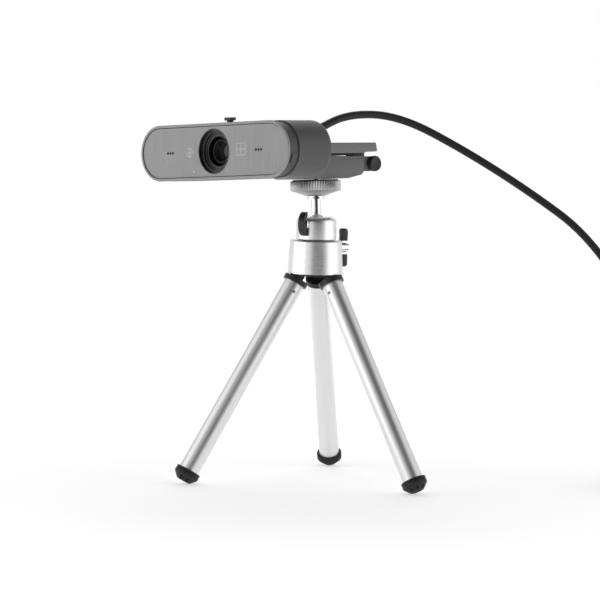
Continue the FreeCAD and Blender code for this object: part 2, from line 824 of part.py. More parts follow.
def make_plug_grip():
    x, y, z = tail_end
    sleeve = rod(cable_r + 1, 3.0, V(x - 3, y, z), EAST)
    grip = block((x - 3 - grip_len, x - 3), (y - grip_w / 2, y + grip_w / 2), (0, grip_t))
    long_edges = [e for e in grip.Edges if e.BoundBox.XLength > grip_len / 2]
    return fuse(grip.makeFillet(1.6, long_edges), sleeve)


def make_plug_shell():
    x, y, z = tail_end - V(3 + grip_len, 0, 0)
    w, t = plug_w / 2, plug_t / 2
    outer = block((x - shell_len, x), (y - w, y + w), (z - t, z + t))
    inner = block((x - shell_len, x - 0.6), (y - w + 0.3, y + w - 0.3), (z - 0.2, z + t - 0.3))
    return outer.cut(inner)


ball_tip = ball_r + gap
pan_tip = spindle_r - 0.7 + gap
ball_lock = (socket_r + 0.6, ball_wing_h, ball_wing_d, ball_z + ball_lock_up)
pan_lock = (housing_r + 0.2, pan_wing_h, pan_wing_d, housing_z + pan_lock_up)

nodes = {
    "hub_housing": make_housing(),
    "hub_spider": make_spider(),
    "hinge_pins": make_hinge_pins(),
    "hub_screws": make_hub_screws(),
    "socket_body": make_socket(),
    "pan_spindle": make_spindle(),
    "ball_shoe": leaned(make_shoe()),
    "ball_stem": make_ball_stem(),
    "thumb_disc": make_disc(),
    "disc_pad": make_disc_pad(),
    "ball_lock_screw": placed(make_lock_screw(ball_tip, *ball_lock), ball_lock_turn),
    "ball_lock_wing": placed(make_wing(*ball_lock, 5.6), ball_lock_turn),
    "pan_lock_screw": placed(make_lock_screw(pan_tip, *pan_lock), pan_lock_turn),
    "pan_lock_wing": placed(make_wing(*pan_lock, 6.8), pan_lock_turn),
    "clip_block": make_clip_block(),
    "block_insert": make_insert(),
    "rear_pin": make_rear_pin(),
    "pin_caps": make_pin_caps(),
    "clip_arm": make_clip_arm(),
    "arm_pad": make_arm_pad(),
    "tilt_pin": make_tilt_pin(),
    "cam_housing": make_cam_housing(),
    "trim_band": make_trim_band(),
    "side_tab": make_side_tab(),
    "cam_bezel": make_bezel(),
    "face_panel": make_face_panel(),
    "lens_ring": make_lens_ring(),
    "lens_barrel": make_lens_barrel(),
    "front_glass": make_front_glass(),
    "lens_holder": make_lens_holder(),
    "ir_filter": make_ir_filter(),
    "image_sensor": make_image_sensor(),
    "sensor_board": make_sensor_board(),
    "main_board": make_main_board(),
    "board_screws": make_board_screws(),
    "mic_capsules": make_mic_capsules(),
    "light_pipe": make_light_pipe(),
    "tilt_bracket": make_tilt_bracket(),
    "cable_gland": make_cable_gland(),
    "shutter_blade": make_shutter_blade(),
    "slider_lever": make_slider_lever(),
    "usb_cable": make_cable(),
    "cable_coil": make_coil(),
    "cable_tail": make_tail(),
    "plug_grip": make_plug_grip(),
    "plug_shell": make_plug_shell(),
}
for i in range(3):
    nodes[f"leg{i + 1}_knuckle"] = stand(make_knuckle(), i)
    nodes[f"leg{i + 1}_tube"] = stand(make_tube(), i)
    nodes[f"leg{i + 1}_rivet"] = stand(make_rivet(), i)
    nodes[f"leg{i + 1}_foot"] = stand(make_foot(), i)

loose_end = ("usb_cable", "cable_coil", "cable_tail", "plug_grip", "plug_shell")
box = FreeCAD.BoundBox()
for name, shape in nodes.items():
    if name not in loose_end:
        box.add(shape.optimalBoundingBox(False, False))
centre = V(-box.Center.x, -box.Center.y, 0)

os.makedirs("parts", exist_ok=True)
for name, shape in nodes.items():
    shape.translate(centre)
    shape.exportStep(f"parts/{name}.step")
    sound = shape.isValid() and all(s.isValid() for s in shape.Solids)
    print(name, len(shape.Solids), "sound" if sound else "UNSOUND", round(shape.Volume))
print("moved by", centre)
print("box", box.XLength, box.YLength, box.ZLength, "low", box.ZMin)
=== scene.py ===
import json
from math import acos, atan2, cos, degrees, pi, radians, sin, tau

import bpy
from mathutils import Matrix, Vector


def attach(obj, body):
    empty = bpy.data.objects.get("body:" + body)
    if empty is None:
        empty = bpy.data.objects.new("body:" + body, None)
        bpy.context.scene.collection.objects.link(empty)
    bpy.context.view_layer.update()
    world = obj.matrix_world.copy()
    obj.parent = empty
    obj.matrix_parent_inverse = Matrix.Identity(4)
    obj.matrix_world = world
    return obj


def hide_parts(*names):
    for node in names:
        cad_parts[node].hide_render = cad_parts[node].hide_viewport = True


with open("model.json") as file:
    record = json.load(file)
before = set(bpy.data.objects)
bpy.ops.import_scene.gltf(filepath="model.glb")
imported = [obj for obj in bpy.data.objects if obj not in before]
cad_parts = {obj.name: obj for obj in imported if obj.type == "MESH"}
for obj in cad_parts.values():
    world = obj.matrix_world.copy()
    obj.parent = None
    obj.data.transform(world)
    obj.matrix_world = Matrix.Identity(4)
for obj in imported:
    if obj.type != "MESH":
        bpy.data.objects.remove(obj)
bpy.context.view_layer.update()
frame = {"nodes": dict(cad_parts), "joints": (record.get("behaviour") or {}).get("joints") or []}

nodes = frame["nodes"]
joints = {joint["name"]: joint for joint in frame["joints"]}
mm = 0.001

# Places that the joints give: the tripod's upright, the ball, the lean of all that stands on it, and the legs
ball = Vector(joints["head_roll"]["pos_m"])
upright = Matrix.Translation((ball.x, ball.y, 0))
pitchAxis = joints["head_pitch"]["axis"]
lean = atan2(pitchAxis[2], pitchAxis[0])
headPlace = Matrix.Translation(ball) @ Matrix.Rotation(-lean, 4, "Y") @ Matrix.Translation((0, 0, -ball.z))
legSpread = radians(30)


def legPlace(number):
    hinge = joints[f"leg_{number}_fold"]
    turn = atan2(-hinge["axis"][0], hinge["axis"][1])
    spread = Matrix.Rotation(turn, 4, "Z") @ Matrix.Rotation(-legSpread, 4, "Y")
    return Matrix.Translation(hinge["pos_m"]) @ spread


webcam = {"front": -70.0, "middle": 168.75, "width": 108.0, "height": 28.0}
lensPlace = headPlace @ Matrix.Translation((0, webcam["front"] * mm, webcam["middle"] * mm))
lensPlace = lensPlace @ Matrix.Rotation(radians(-90), 4, "X")  # +Z runs into the webcam

print("stage 1: camera")

shot = {
    "heading": 46.0, "rise": 4.36, "distance": 1.7, "roll": 1.43,
    "aside": -0.0074, "height": 0.0926, "lens": 200.2,
}


def placeCamera():
    heading, rise, roll = radians(shot["heading"]), radians(shot["rise"]), radians(shot["roll"])
    back = Vector((sin(heading) * cos(rise), -cos(heading) * cos(rise), sin(rise)))
    level = Vector((cos(heading), sin(heading), 0))
    above = back.cross(level)
    right = level * cos(roll) + above * sin(roll)
    above = above * cos(roll) - level * sin(roll)
    target = upright.translation + level * shot["aside"] + Vector((0, 0, shot["height"]))
    data = bpy.data.cameras.new("studioCamera")
    data.lens = shot["lens"]
    data.sensor_width = 36
    data.clip_end = 100
    camera = bpy.data.objects.new("studioCamera", data)
    bpy.context.scene.collection.objects.link(camera)
    turn = Matrix((right, above, back)).transposed().to_4x4()
    camera.matrix_world = Matrix.Translation(target + back * shot["distance"]) @ turn
    bpy.context.scene.camera = camera


placeCamera()

print("stage 2: finishes")


class Wire:  # a node's socket that Python's signs work on
    def __init__(self, finish, socket):
        self.finish = finish
        self.socket = socket

    def maths(self, operation, first, second=0.0):
        return self.finish.node("ShaderNodeMath", {"operation": operation}, {0: first, 1: second})

    def __add__(self, other):
        return self.maths("ADD", self, other)

    def __radd__(self, other):
        return self.maths("ADD", other, self)

    def __sub__(self, other):
        return self.maths("SUBTRACT", self, other)

    def __rsub__(self, other):
        return self.maths("SUBTRACT", other, self)

    def __mul__(self, other):
        return self.maths("MULTIPLY", self, other)

    def __rmul__(self, other):
        return self.maths("MULTIPLY", other, self)

    def __truediv__(self, other):
        return self.maths("DIVIDE", self, other)

    def __rtruediv__(self, other):
        return self.maths("DIVIDE", other, self)

    def __lt__(self, other):
        return self.maths("LESS_THAN", self, other)


class Finish:  # one material and its nodes
    def __init__(self, name, world=None):
        self.material = world or bpy.data.materials.new(name)
        self.material.use_nodes = True
        self.tree = self.material.node_tree
        self.tree.nodes.clear()

    def node(self, kind, settings=None, values=None, output=0):
        made = self.tree.nodes.new(kind)
        for key, value in (settings or {}).items():
            if key == "stops":
                ramp = made.color_ramp
                while len(ramp.elements) < len(value):
                    ramp.elements.new(0.5)
                for element, (position, tone) in zip(ramp.elements, value):
                    element.position = position
                    element.color = (tone, tone, tone, 1)
            else:
                setattr(made, key, value)
        for key, value in (values or {}).items():
            if isinstance(value, Wire):
                self.tree.links.new(value.socket, made.inputs[key])
            else:
                made.inputs[key].default_value = value
        return Wire(self, made.outputs[output]) if len(made.outputs) else self.material

    def place(self, move=(0, 0, 0), turn=(0, 0, 0)):
        spot = self.node("ShaderNodeTexCoord", output="Object")
        values = {"Vector": spot, "Location": move, "Rotation": turn}
        return self.node("ShaderNodeMapping", {"vector_type": "TEXTURE"}, values)

    def scaled(self, place, sizes):
        return self.node("ShaderNodeVectorMath", {"operation": "MULTIPLY"}, {0: place, 1: sizes})

    def noise(self, place, scale, detail=2.0):
        return self.node("ShaderNodeTexNoise", None, {"Vector": place, "Scale": scale, "Detail": detail})

    def split(self, place):
        return [self.node("ShaderNodeSeparateXYZ", None, {0: place}, axis) for axis in "XYZ"]

    def joined(self, x, y, z):
        return self.node("ShaderNodeCombineXYZ", None, {0: x, 1: y, 2: z})

    def mix(self, amount, dark, light):
        values = {0: amount, 6: (*dark, 1), 7: (*light, 1)}
        return self.node("ShaderNodeMix", {"data_type": "RGBA"}, values, 2)

    def bump(self, height, depth, strength=1.0, under=None):
        values = {"Strength": strength, "Distance": depth, "Height": height}
        if under:
            values["Normal"] = under
        return self.node("ShaderNodeBump", None, values)

    def smooth(self, value, low, high):
        values = {0: value, 1: low, 2: high}
        return self.node("ShaderNodeMapRange", {"interpolation_type": "SMOOTHSTEP"}, values)

    def surface(self, values):
        shader = self.node("ShaderNodeBsdfPrincipled", None, values)
        return self.node("ShaderNodeOutputMaterial", None, {"Surface": shader})


def grey(tone, tint=0.0):
    return (tone * (1 - tint), tone, tone * (1 + tint))


def turnedMetal(name, tone, rough, move, turn=(0, 0, 0), fine=5200):
    finish = Finish(name)
    spot = finish.place(move, turn)
    x, y, z = finish.split(spot)
    radius = finish.node("ShaderNodeMath", {"operation": "SQRT"}, {0: x * x + y * y})
    rings = finish.noise(finish.joined(radius, z, (x + y) * 0.004), fine, 3.0)  # tool marks run round the axis
    cloud = finish.noise(spot, 70, 3.0)
    speck = finish.noise(spot, 2600, 1.0)
    shade = rings * 0.55 + cloud * 0.25 + speck * 0.2
    colour = finish.mix(shade, grey(tone * 0.9), grey(min(1, tone * 1.08)))
    return finish.surface({
        "Base Color": colour,
        "Metallic": 1.0,
        "Roughness": rough + (rings - 0.5) * 0.12 + (cloud - 0.5) * 0.1,
        "Normal": finish.bump(rings + speck * 0.7, 0.000005),
    })


def drawnTube(name, tone, rough, move, turn):
    finish = Finish(name)
    spot = finish.place(move, turn)
    lines = finish.noise(finish.scaled(spot, (1, 1, 0.012)), 5200, 3.0)  # drawing marks run down the tube
    cloud = finish.noise(finish.scaled(spot, (1, 1, 0.35)), 90, 4.0)
    satin = finish.noise(spot, 4200, 1.0)
    scuff = finish.noise(finish.scaled(spot, (1, 1, 0.5)), 420, 5.0)
    worn = finish.node("ShaderNodeValToRGB", {"stops": [(0.62, 0.0), (0.72, 1.0)]}, {0: scuff})
    colour = finish.mix(lines * 0.45 + cloud * 0.3 + satin * 0.25, grey(tone * 0.87), grey(min(1, tone * 1.08)))
    return finish.surface({
        "Base Color": colour,
        "Metallic": 1.0,
        "Roughness": rough + (lines - 0.5) * 0.14 + (cloud - 0.5) * 0.1 + worn * 0.08,
        "Normal": finish.bump(lines + satin * 0.7, 0.000011),
    })


def plated(name, tone, rough):
    finish = Finish(name)
    spot = finish.place()
    cloud = finish.noise(spot, 160, 3.0)
    smear = finish.noise(finish.scaled(spot, (1, 1, 0.2)), 900, 4.0)
    return finish.surface({
        "Base Color": finish.mix(cloud * 0.6 + smear * 0.4, grey(tone * 0.9, 0.01), grey(tone, 0.005)),
        "Metallic": 1.0,
        "Roughness": rough + (smear - 0.4) * 0.1 + (cloud - 0.5) * 0.04,
        "Normal": finish.bump(smear, 0.000006),
    })


def moulded(name, tone, rough, grain=2600, depth=0.00002, coat=0.0):
    finish = Finish(name)
    spot = finish.place()
    pits = finish.noise(spot, grain, 3.0)  # the tool's spark-eroded grain
    cloud = finish.noise(spot, 60, 3.0)
    handled = finish.noise(spot, 260, 4.0)
    shade = pits * 0.4 + cloud * 0.35 + handled * 0.25
    return finish.surface({
        "Base Color": finish.mix(shade, grey(tone * 0.82, 0.01), grey(tone * 1.16, 0.01)),
        "Roughness": rough + (pits - 0.5) * 0.16 + (handled - 0.5) * 0.1,
        "Specular IOR Level": 0.35,
        "Coat Weight": coat,
        "Coat Roughness": 0.25,
        "Normal": finish.bump(pits, depth),
    })


def rubbery(name, tone, rough, depth=0.00003):
    finish = Finish(name)
    spot = finish.place()
    grain = finish.noise(spot, 1900, 4.0)
    dust = finish.noise(spot, 140, 5.0)
    bloom = finish.node("ShaderNodeValToRGB", {"stops": [(0.45, 0.0), (0.75, 1.0)]}, {0: dust})
    return finish.surface({
        "Base Color": finish.mix(bloom * 0.5 + grain * 0.3, grey(tone * 0.8), grey(tone * 1.7)),
        "Roughness": rough + (grain - 0.5) * 0.15 + bloom * 0.08,
        "Specular IOR Level": 0.3,
        "Normal": finish.bump(grain, depth),
    })


def wovenFace(name, tone):
    finish = Finish(name)
    spot = finish.place()
    x, y, z = finish.split(spot)
    across = finish.node("ShaderNodeMath", {"operation": "SINE"}, {0: x * (tau / 0.00062)})
    up = finish.node("ShaderNodeMath", {"operation": "SINE"}, {0: z * (tau / 0.00062)})
    # warp threads that took the dye unevenly
    streak = finish.noise(finish.scaled(spot, (1, 1, 0.05)), 900, 3.0)
    cloud = finish.noise(spot, 45, 3.0)
    weave = across * up * 0.5 + 0.5
    shade = weave * 0.35 + streak * 0.45 + cloud * 0.2
    return finish.surface({
        "Base Color": finish.mix(shade, grey(tone * 0.72), grey(tone * 1.28)),
        "Roughness": 0.62 + (weave - 0.5) * 0.12,
        "Normal": finish.bump(weave + streak * 0.3, 0.00004),
    })


def coatedGlass(name):
    finish = Finish(name)
    spot = finish.place()
    # the base colour lifts towards purple at grazing angles: a painted sheen standing in for the coating's tinted
    # reflection
    facing = finish.node("ShaderNodeLayerWeight", None, {"Blend": 0.35}, "Facing")
    haze = finish.noise(spot, 500, 3.0)
    return finish.surface({
        "Base Color": finish.mix(facing, (0.004, 0.004, 0.006), (0.05, 0.04, 0.07)),
        "Roughness": 0.03 + haze * 0.03,
        "IOR": 1.35,
        "Coat Weight": 0.15,
        "Coat Roughness": 0.05,
    })


def printedBoard(name):
    finish = Finish(name)
    spot = finish.place()
    cells = finish.node("ShaderNodeTexVoronoi", {"feature": "DISTANCE_TO_EDGE"}, {"Vector": spot, "Scale": 420})
    track = cells < 0.06
    cloud = finish.noise(spot, 120, 3.0)
    return finish.surface({
        "Base Color": finish.mix(track * 0.8 + cloud * 0.2, (0.008, 0.05, 0.022), (0.03, 0.14, 0.06)),
        "Roughness": 0.3 + cloud * 0.15,
        "Normal": finish.bump(track, 0.00003),
    })


def softLight(name, tone):
    finish = Finish(name)
    spot = finish.place()
    cloud = finish.noise(spot, 900, 3.0)
    return finish.surface({
        "Base Color": finish.mix(cloud, grey(tone * 0.85), grey(tone)),
        "Roughness": 0.35 + cloud * 0.1,
        "Coat Weight": 0.4,
    })


def seamlessPaper(name):
    # the paper floor glows though it is no lamp: painted light that grows with the distance from the tripod
    finish = Finish(name)
    spot = finish.place()
    fibre = finish.noise(spot, 900, 4.0)
    distance = finish.node("ShaderNodeVectorMath", {"operation": "LENGTH"}, {0: spot}, 1)
    glow = finish.smooth(distance, 0.05, 0.5)
    return finish.surface({
        "Base Color": finish.mix(fibre, grey(0.8), grey(0.84)),
        "Roughness": 0.85,
        "Specular IOR Level": 0.1,
        # painted light: the floor's own emission, dimmer near the tripod and brighter far from it
        "Emission Color": finish.mix(glow, grey(0.62), grey(1.0)),
        "Emission Strength": 0.8,
    })


standMiddle = tuple(upright.translation)
headTurn = (0, -lean, 0)
looks = {
    "hub": turnedMetal("turnedHub", 0.82, 0.29, standMiddle),
    "disc": turnedMetal("knurledDisc", 0.42, 0.34, tuple(ball), headTurn, 3800),
    "chrome": plated("brightChrome", 0.86, 0.09),
    "steel": plated("turnedSteel", 0.6, 0.28),
    "rivet": plated("darkRivet", 0.2, 0.35),
    "hubPlastic": moulded("hubNylon", 0.022, 0.42),
    "legCap": moulded("capNylon", 0.02, 0.36, 2200, 0.000015),
    "wing": moulded("wingNylon", 0.018, 0.33, 2400, 0.000014),
    "rubber": rubbery("footRubber", 0.018, 0.5),
    "pad": rubbery("padRubber", 0.014, 0.68),
    "clip": moulded("clipSatin", 0.13, 0.5, 3000, 0.00002),
    "arm": moulded("armSatin", 0.175, 0.5, 3000, 0.00002),
    "cap": moulded("capVinyl", 0.02, 0.45, 2600, 0.00001),
    "shell": moulded("shellSatin", 0.085, 0.5, 3400, 0.000014),
    "trim": moulded("trimSatin", 0.07, 0.5, 3400, 0.000014),
    "bezel": moulded("bezelSatin", 0.3, 0.45, 3400, 0.00001),
    "face": wovenFace("faceWeave", 0.305),
    "lensRim": moulded("lensSatin", 0.012, 0.24, 3000, 0.000008, 0.5),
    "lensDark": moulded("lensMatt", 0.008, 0.5, 3000, 0.00001),
    "felt": rubbery("micFelt", 0.004, 0.9),
    "glass": coatedGlass("coatedGlass"),
    "brass": plated("turnedBrass", 0.5, 0.3),
    "board": printedBoard("solderResist"),
    "chip": moulded("chipEpoxy", 0.03, 0.4),
    "lightPipe": softLight("lightPipe", 0.5),
    "icon": softLight("iconPrint", 0.47),
    "gold": plated("contactGold", 0.6, 0.2),
    "tie": rubbery("tieStrap", 0.02, 0.6, 0.00004),
    "cable": rubbery("cableSkin", 0.006, 0.45, 0.00001),
    "plugRubber": moulded("plugVinyl", 0.02, 0.45, 1800, 0.00002),
    "nickel": plated("plugNickel", 0.74, 0.2),
    "tongue": moulded("tonguePlastic", 0.5, 0.4),
}

nodeLooks = {
    "hub": ["hub_housing", "socket_body"],
    "hubPlastic": ["hub_spider"],
    "steel": ["hinge_pins", "hub_screws", "pan_spindle", "rear_pin", "tilt_pin", "board_screws"],
    "chrome": ["ball_stem", "ball_lock_screw", "pan_lock_screw"],
    "wing": ["ball_lock_wing", "pan_lock_wing", "ball_shoe"],
    "disc": ["thumb_disc"],
    "pad": ["disc_pad", "arm_pad", "pin_caps"],
    "clip": ["clip_block", "clip_arm"],
    "brass": ["block_insert"],
    "shell": ["cam_housing", "tilt_bracket", "slider_lever"],
    "trim": ["trim_band", "side_tab"],
    "bezel": ["cam_bezel"],
    "face": ["face_panel"],
    "lensRim": ["lens_ring", "lens_barrel"],
    "lensDark": ["lens_holder", "shutter_blade"],
    "glass": ["front_glass", "ir_filter"],
    "chip": ["image_sensor"],
    "board": ["sensor_board", "main_board"],
    "felt": ["mic_capsules"],
    "lightPipe": ["light_pipe"],
    "plugRubber": ["cable_gland", "plug_grip"],
    "cable": ["usb_cable", "cable_coil", "cable_tail"],
    "nickel": ["plug_shell"],
}


def coverNode(name, material):
    mesh = nodes[name].data
    if not mesh.materials:
        mesh.materials.append(material)
    for index in range(len(mesh.materials)):
        mesh.materials[index] = material


for look, names in nodeLooks.items():
    for name in names:
        coverNode(name, looks[look])
for number in (1, 2, 3):
    place = legPlace(number)
    tube = drawnTube(f"drawnTube{number}", 0.8, 0.34, tuple(place.translation), tuple(place.to_euler()))
    coverNode(f"leg{number}_tube", tube)
    coverNode(f"leg{number}_knuckle", looks["legCap"])
    coverNode(f"leg{number}_rivet", looks["rivet"])
    coverNode(f"leg{number}_foot", looks["rubber"])

print("stage 3: cable")

cable = {
    "diameter": 4.0, "coilMiddle": (120.072, 137.234), "coilRadius": 24.0, "coilHeight": 6.0,
    "pitch": 4.15, "steps": 18, "turns": 6.75,
}
cableRun = [
    (4.147, -27.566, 173.7),
    (4.147, -10.566, 178.7),
    (4.147, 13.434, 188.2),
    (10.147, 45.434, 187.2),
    (28.147, 76.434, 169.7),
    (48.147, 105.434, 148.7),
    (66.147, 130.434, 127.2),
    (84.072, 151.234, 88.0),
    (88.072, 159.234, 56.0),
    (94.072, 159.234, 28.0),
    (96.072, 146.234, 15.5),
]
cableEnd = [(108.672, 164.9, 4.6), (102.672, 164.234, 4.0), (94.0, 164.234, 4.0)]


def coilPoints():
    # seven turns beside and on each other; each steps over to its neighbour in the last part of its turn
    half, rise = cable["pitch"] / 2, cable["pitch"] * 0.866
    slots = [(half, rise), (-half, rise), (-2 * half, 0), (-half, -rise), (0, 0), (half, -rise), (2 * half, 0)]
    points = []
    count = round(cable["turns"] * cable["steps"])
    for step in range(2, count + 1):
        turned = step / cable["steps"]
        lap = min(int(turned), len(slots) - 1)
        onward = max(0, (turned - lap - 0.86) / 0.14) if lap < len(slots) - 1 else 0
        here, after = slots[lap], slots[min(lap + 1, len(slots) - 1)]
        out = here[0] + (after[0] - here[0]) * onward
        high = here[1] + (after[1] - here[1]) * onward
        angle = pi + tau * turned
        radius = cable["coilRadius"] + out + 0.25 * sin(3 * angle)
        x = cable["coilMiddle"][0] + radius * cos(angle)
        y = cable["coilMiddle"][1] + radius * sin(angle)
        points.append((x, y, cable["coilHeight"] + high))
    return points


def makeCable():
    points = cableRun + coilPoints() + cableEnd
    data = bpy.data.curves.new("usbCable", "CURVE")
    data.dimensions = "3D"
    spline = data.splines.new("NURBS")
    spline.points.add(len(points) - 1)
    for knot, point in zip(spline.points, points):
        knot.co = (*(value * mm for value in point), 1)
    spline.order_u = 3
    spline.use_endpoint_u = True
    spline.resolution_u = 8
    data.bevel_depth = cable["diameter"] / 2 * mm
    data.bevel_resolution = 4
    data.use_fill_caps = True
    piece = bpy.data.objects.new("usbCable", data)
    bpy.context.scene.collection.objects.link(piece)
    data.materials.append(looks["cable"])
    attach(piece, "webcam")
    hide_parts("usb_cable", "cable_coil", "cable_tail")
    return piece


usbCable = makeCable()

print("stage 4: feet, wings and disc")


def clearSelection():
    if bpy.context.mode != "OBJECT":
        bpy.ops.object.mode_set(mode="OBJECT")
    bpy.ops.object.select_all(action="DESELECT")


def choose(piece):
    clearSelection()
    piece.select_set(True)
    bpy.context.view_layer.objects.active = piece


def editAll():
    bpy.ops.object.mode_set(mode="EDIT")
    bpy.ops.mesh.select_all(action="SELECT")


def drawOut(x, y, z):
    bpy.ops.mesh.extrude_region_move(TRANSFORM_OT_translate={"value": (x, y, z)})


def startPiece(name):
    piece = bpy.context.active_object
    piece.name = piece.data.name = name
    return piece


def pick(piece, kind, wanted):
    # kind is VERT, EDGE or FACE. wanted takes the middle of an edge or face in mm, and a face's normal
    bpy.ops.object.mode_set(mode="EDIT")
    bpy.ops.mesh.select_mode(type=kind)
    bpy.ops.mesh.select_all(action="DESELECT")
    bpy.ops.object.mode_set(mode="OBJECT")
    mesh = piece.data
    if kind == "FACE":
        for face in mesh.polygons:
            face.select = bool(wanted(face.center / mm, face.normal))
    elif kind == "EDGE":
        for edge in mesh.edges:
            ends = [mesh.vertices[index].co / mm for index in edge.vertices]
            edge.select = bool(wanted(*ends))
    else:
        for vertex in mesh.vertices:
            vertex.select = bool(wanted(vertex.co / mm))
    bpy.ops.object.mode_set(mode="EDIT")


def spinProfile(name, profile, steps=64):
    # profile is (radius, height) in mm, drawn in the XZ plane and spun about Z
    clearSelection()
    bpy.ops.mesh.primitive_plane_add(size=mm, location=(0, 0, 0))
    piece = startPiece(name)
    bpy.ops.object.mode_set(mode="EDIT")
    bpy.ops.mesh.select_mode(type="VERT")
    bpy.ops.mesh.select_all(action="SELECT")
    bpy.ops.mesh.merge(type="CENTER")
    bpy.ops.transform.translate(value=(profile[0][0] * mm, 0, profile[0][1] * mm))
    for (fromRadius, fromHeight), (radius, height) in zip(profile, profile[1:]):
        step = ((radius - fromRadius) * mm, 0, (height - fromHeight) * mm)
        drawOut(*step)
    bpy.ops.mesh.select_all(action="SELECT")
    bpy.ops.mesh.spin(steps=steps, angle=tau, center=(0, 0, 0), axis=(0, 0, 1))
    bpy.ops.mesh.select_all(action="SELECT")
    bpy.ops.mesh.remove_doubles(threshold=0.000002)
    bpy.ops.mesh.normals_make_consistent(inside=False)
    bpy.ops.object.mode_set(mode="OBJECT")
    return piece


def startBlock(name, x, y, z):
    # a cube stretched between three pairs of limits in mm
    clearSelection()
    bpy.ops.mesh.primitive_cube_add(size=mm, location=(0, 0, 0))
    piece = startPiece(name)
    editAll()
    bpy.ops.transform.resize(value=(x[1] - x[0], y[1] - y[0], z[1] - z[0]))
    bpy.ops.transform.translate(value=tuple((low + high) / 2 * mm for low, high in (x, y, z)))
    bpy.ops.object.mode_set(mode="OBJECT")
    return piece


def cutAway(piece, point, normal):
    # a flat cut; what lies on the normal's side goes, and the cut is closed
    clearSelection()
    bpy.context.view_layer.objects.active = piece
    editAll()
    spot = tuple(value * mm for value in point)
    bpy.ops.mesh.bisect(plane_co=spot, plane_no=normal, use_fill=True, clear_outer=True, threshold=1e-7)
    bpy.ops.object.mode_set(mode="OBJECT")


def applyModifier(piece, kind, **settings):
    choose(piece)
    modifier = piece.modifiers.new(kind.lower(), kind)
    for key, value in settings.items():
        setattr(modifier, key, value)
    bpy.ops.object.modifier_apply(modifier=modifier.name)


def roundEdges(piece, width, segments=3, angle=30):
    limits = {"limit_method": "ANGLE", "angle_limit": radians(angle)}
    applyModifier(piece, "BEVEL", width=width * mm, segments=segments, **limits)


def takeFrom(piece, cutter):
    applyModifier(piece, "BOOLEAN", operation="DIFFERENCE", object=cutter, solver="EXACT")
    bpy.data.objects.remove(cutter)


def weld(piece, other):
    applyModifier(piece, "BOOLEAN", operation="UNION", object=other, solver="EXACT")
    bpy.data.objects.remove(other)


def copyPiece(piece, name):
    twin = piece.copy()
    twin.data = piece.data.copy()
    twin.name = twin.data.name = name
    bpy.context.scene.collection.objects.link(twin)
    return twin


def setDown(piece, place, look, body, standsFor=(), smooth=35):
    clearSelection()
    piece.matrix_world = place @ piece.matrix_world
    piece.select_set(True)
    bpy.context.view_layer.objects.active = piece
    bpy.ops.object.transform_apply(location=True, rotation=True, scale=True)
    bpy.ops.object.shade_smooth_by_angle(angle=radians(smooth))
    piece.data.materials.clear()
    piece.data.materials.append(look)
    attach(piece, body)
    if standsFor:
        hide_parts(*standsFor)
    return piece


foot = {"face": 3.5, "radius": 6.5, "band": 3.1, "tread": 0.5}


def makeFeet():
    hinge = joints["leg_1_fold"]["pos_m"][2] / mm
    length = (hinge - foot["face"] * sin(legSpread)) / cos(legSpread)
    r, shoulder = foot["radius"], foot["radius"] - foot["face"]
    top = shoulder + foot["band"]
    profile = [
        (0, foot["tread"]), (foot["face"] - 1.2, foot["tread"]), (foot["face"] - 0.9, 0), (foot["face"], 0),
        (r - 0.25, shoulder - 0.2), (r - 0.05, shoulder + 0.15), (r - 0.05, top - 1.35), (r - 0.4, top - 1.2),
        (r - 0.4, top - 0.95), (r, top - 0.8), (r, top - 0.2), (r - 0.25, top), (5.4, top), (5.22, top - 0.3),
        (5.22, top - 2.3), (0, top - 2.3),
    ]
    first = spinProfile("rubberFoot1", profile, 72)
    # eight short treads cut up into the chamfer
    for step in range(8):
        groove = startBlock("tread", (foot["face"] + 0.4, r + 1), (-0.3, 0.3), (-1, shoulder * 0.75))
        groove.matrix_world = Matrix.Rotation(tau * step / 8, 4, "Z") @ Matrix.Translation((0, 0, -0.0004))
        bpy.context.view_layer.update()
        takeFrom(first, groove)
    roundEdges(first, 0.12, 2, 35)
    drop = Matrix.Translation((0, 0, -length * mm))
    for number in (3, 2, 1):
        piece = first if number == 1 else copyPiece(first, f"rubberFoot{number}")
        setDown(piece, legPlace(number) @ drop, looks["rubber"], f"leg_{number}", [f"leg{number}_foot"])


makeFeet()

wings = {
    "ball_lock": {
        "joint": "ball_lock_turn", "inner": 11.85, "depth": 2.9, "open": 10.9, "tall": 12.2, "wide": 3.4,
        "band": 2.2, "rim": 2.3,
    },
    "pan_lock": {"joint": "pan_lock_turn", "inner": 15.3, "depth": 3.7, "tall": 19.6, "core": 6.8, "curl": 0.5},
}


def makeWingHalf(name, wing):
    # one arm of the wing: a block extruded three times, each a little smaller and curled in
    depth, reach = wing["depth"], wing["tall"] / 2
    start = wing["core"] / 2
    end = start + (reach - start) * 0.45
    arm = startBlock(name, (wing["inner"], wing["inner"] + depth), (-1.45, 1.45), (start, end))
    pick(arm, "FACE", lambda middle, normal: normal.z > 0.9)
    for share, size, shift in ((0.25, 1.12, -0.1), (0.2, 0.97, -0.2), (0.1, 0.7, -0.12)):
        rise = (reach - start) * share
        step = (shift * wing["curl"] * mm, 0, rise * mm)
        drawOut(*step)
        bpy.ops.transform.resize(value=(min(size, 1.0), size, 1))
    bpy.ops.object.mode_set(mode="OBJECT")
    return arm


def makeLongWing(name, wing):
    # two mirrored arms welded together
    upper = makeWingHalf(name, wing)
    lower = copyPiece(upper, "lowerArm")
    lower.matrix_world = Matrix.Scale(-1, 4, (0, 0, 1))
    choose(lower)
    bpy.ops.object.transform_apply(location=True, rotation=True, scale=True)
    editAll()
    bpy.ops.mesh.normals_make_consistent(inside=False)
    bpy.ops.object.mode_set(mode="OBJECT")
    weld(upper, lower)
    roundEdges(upper, 0.45, 4, 25)
    return upper


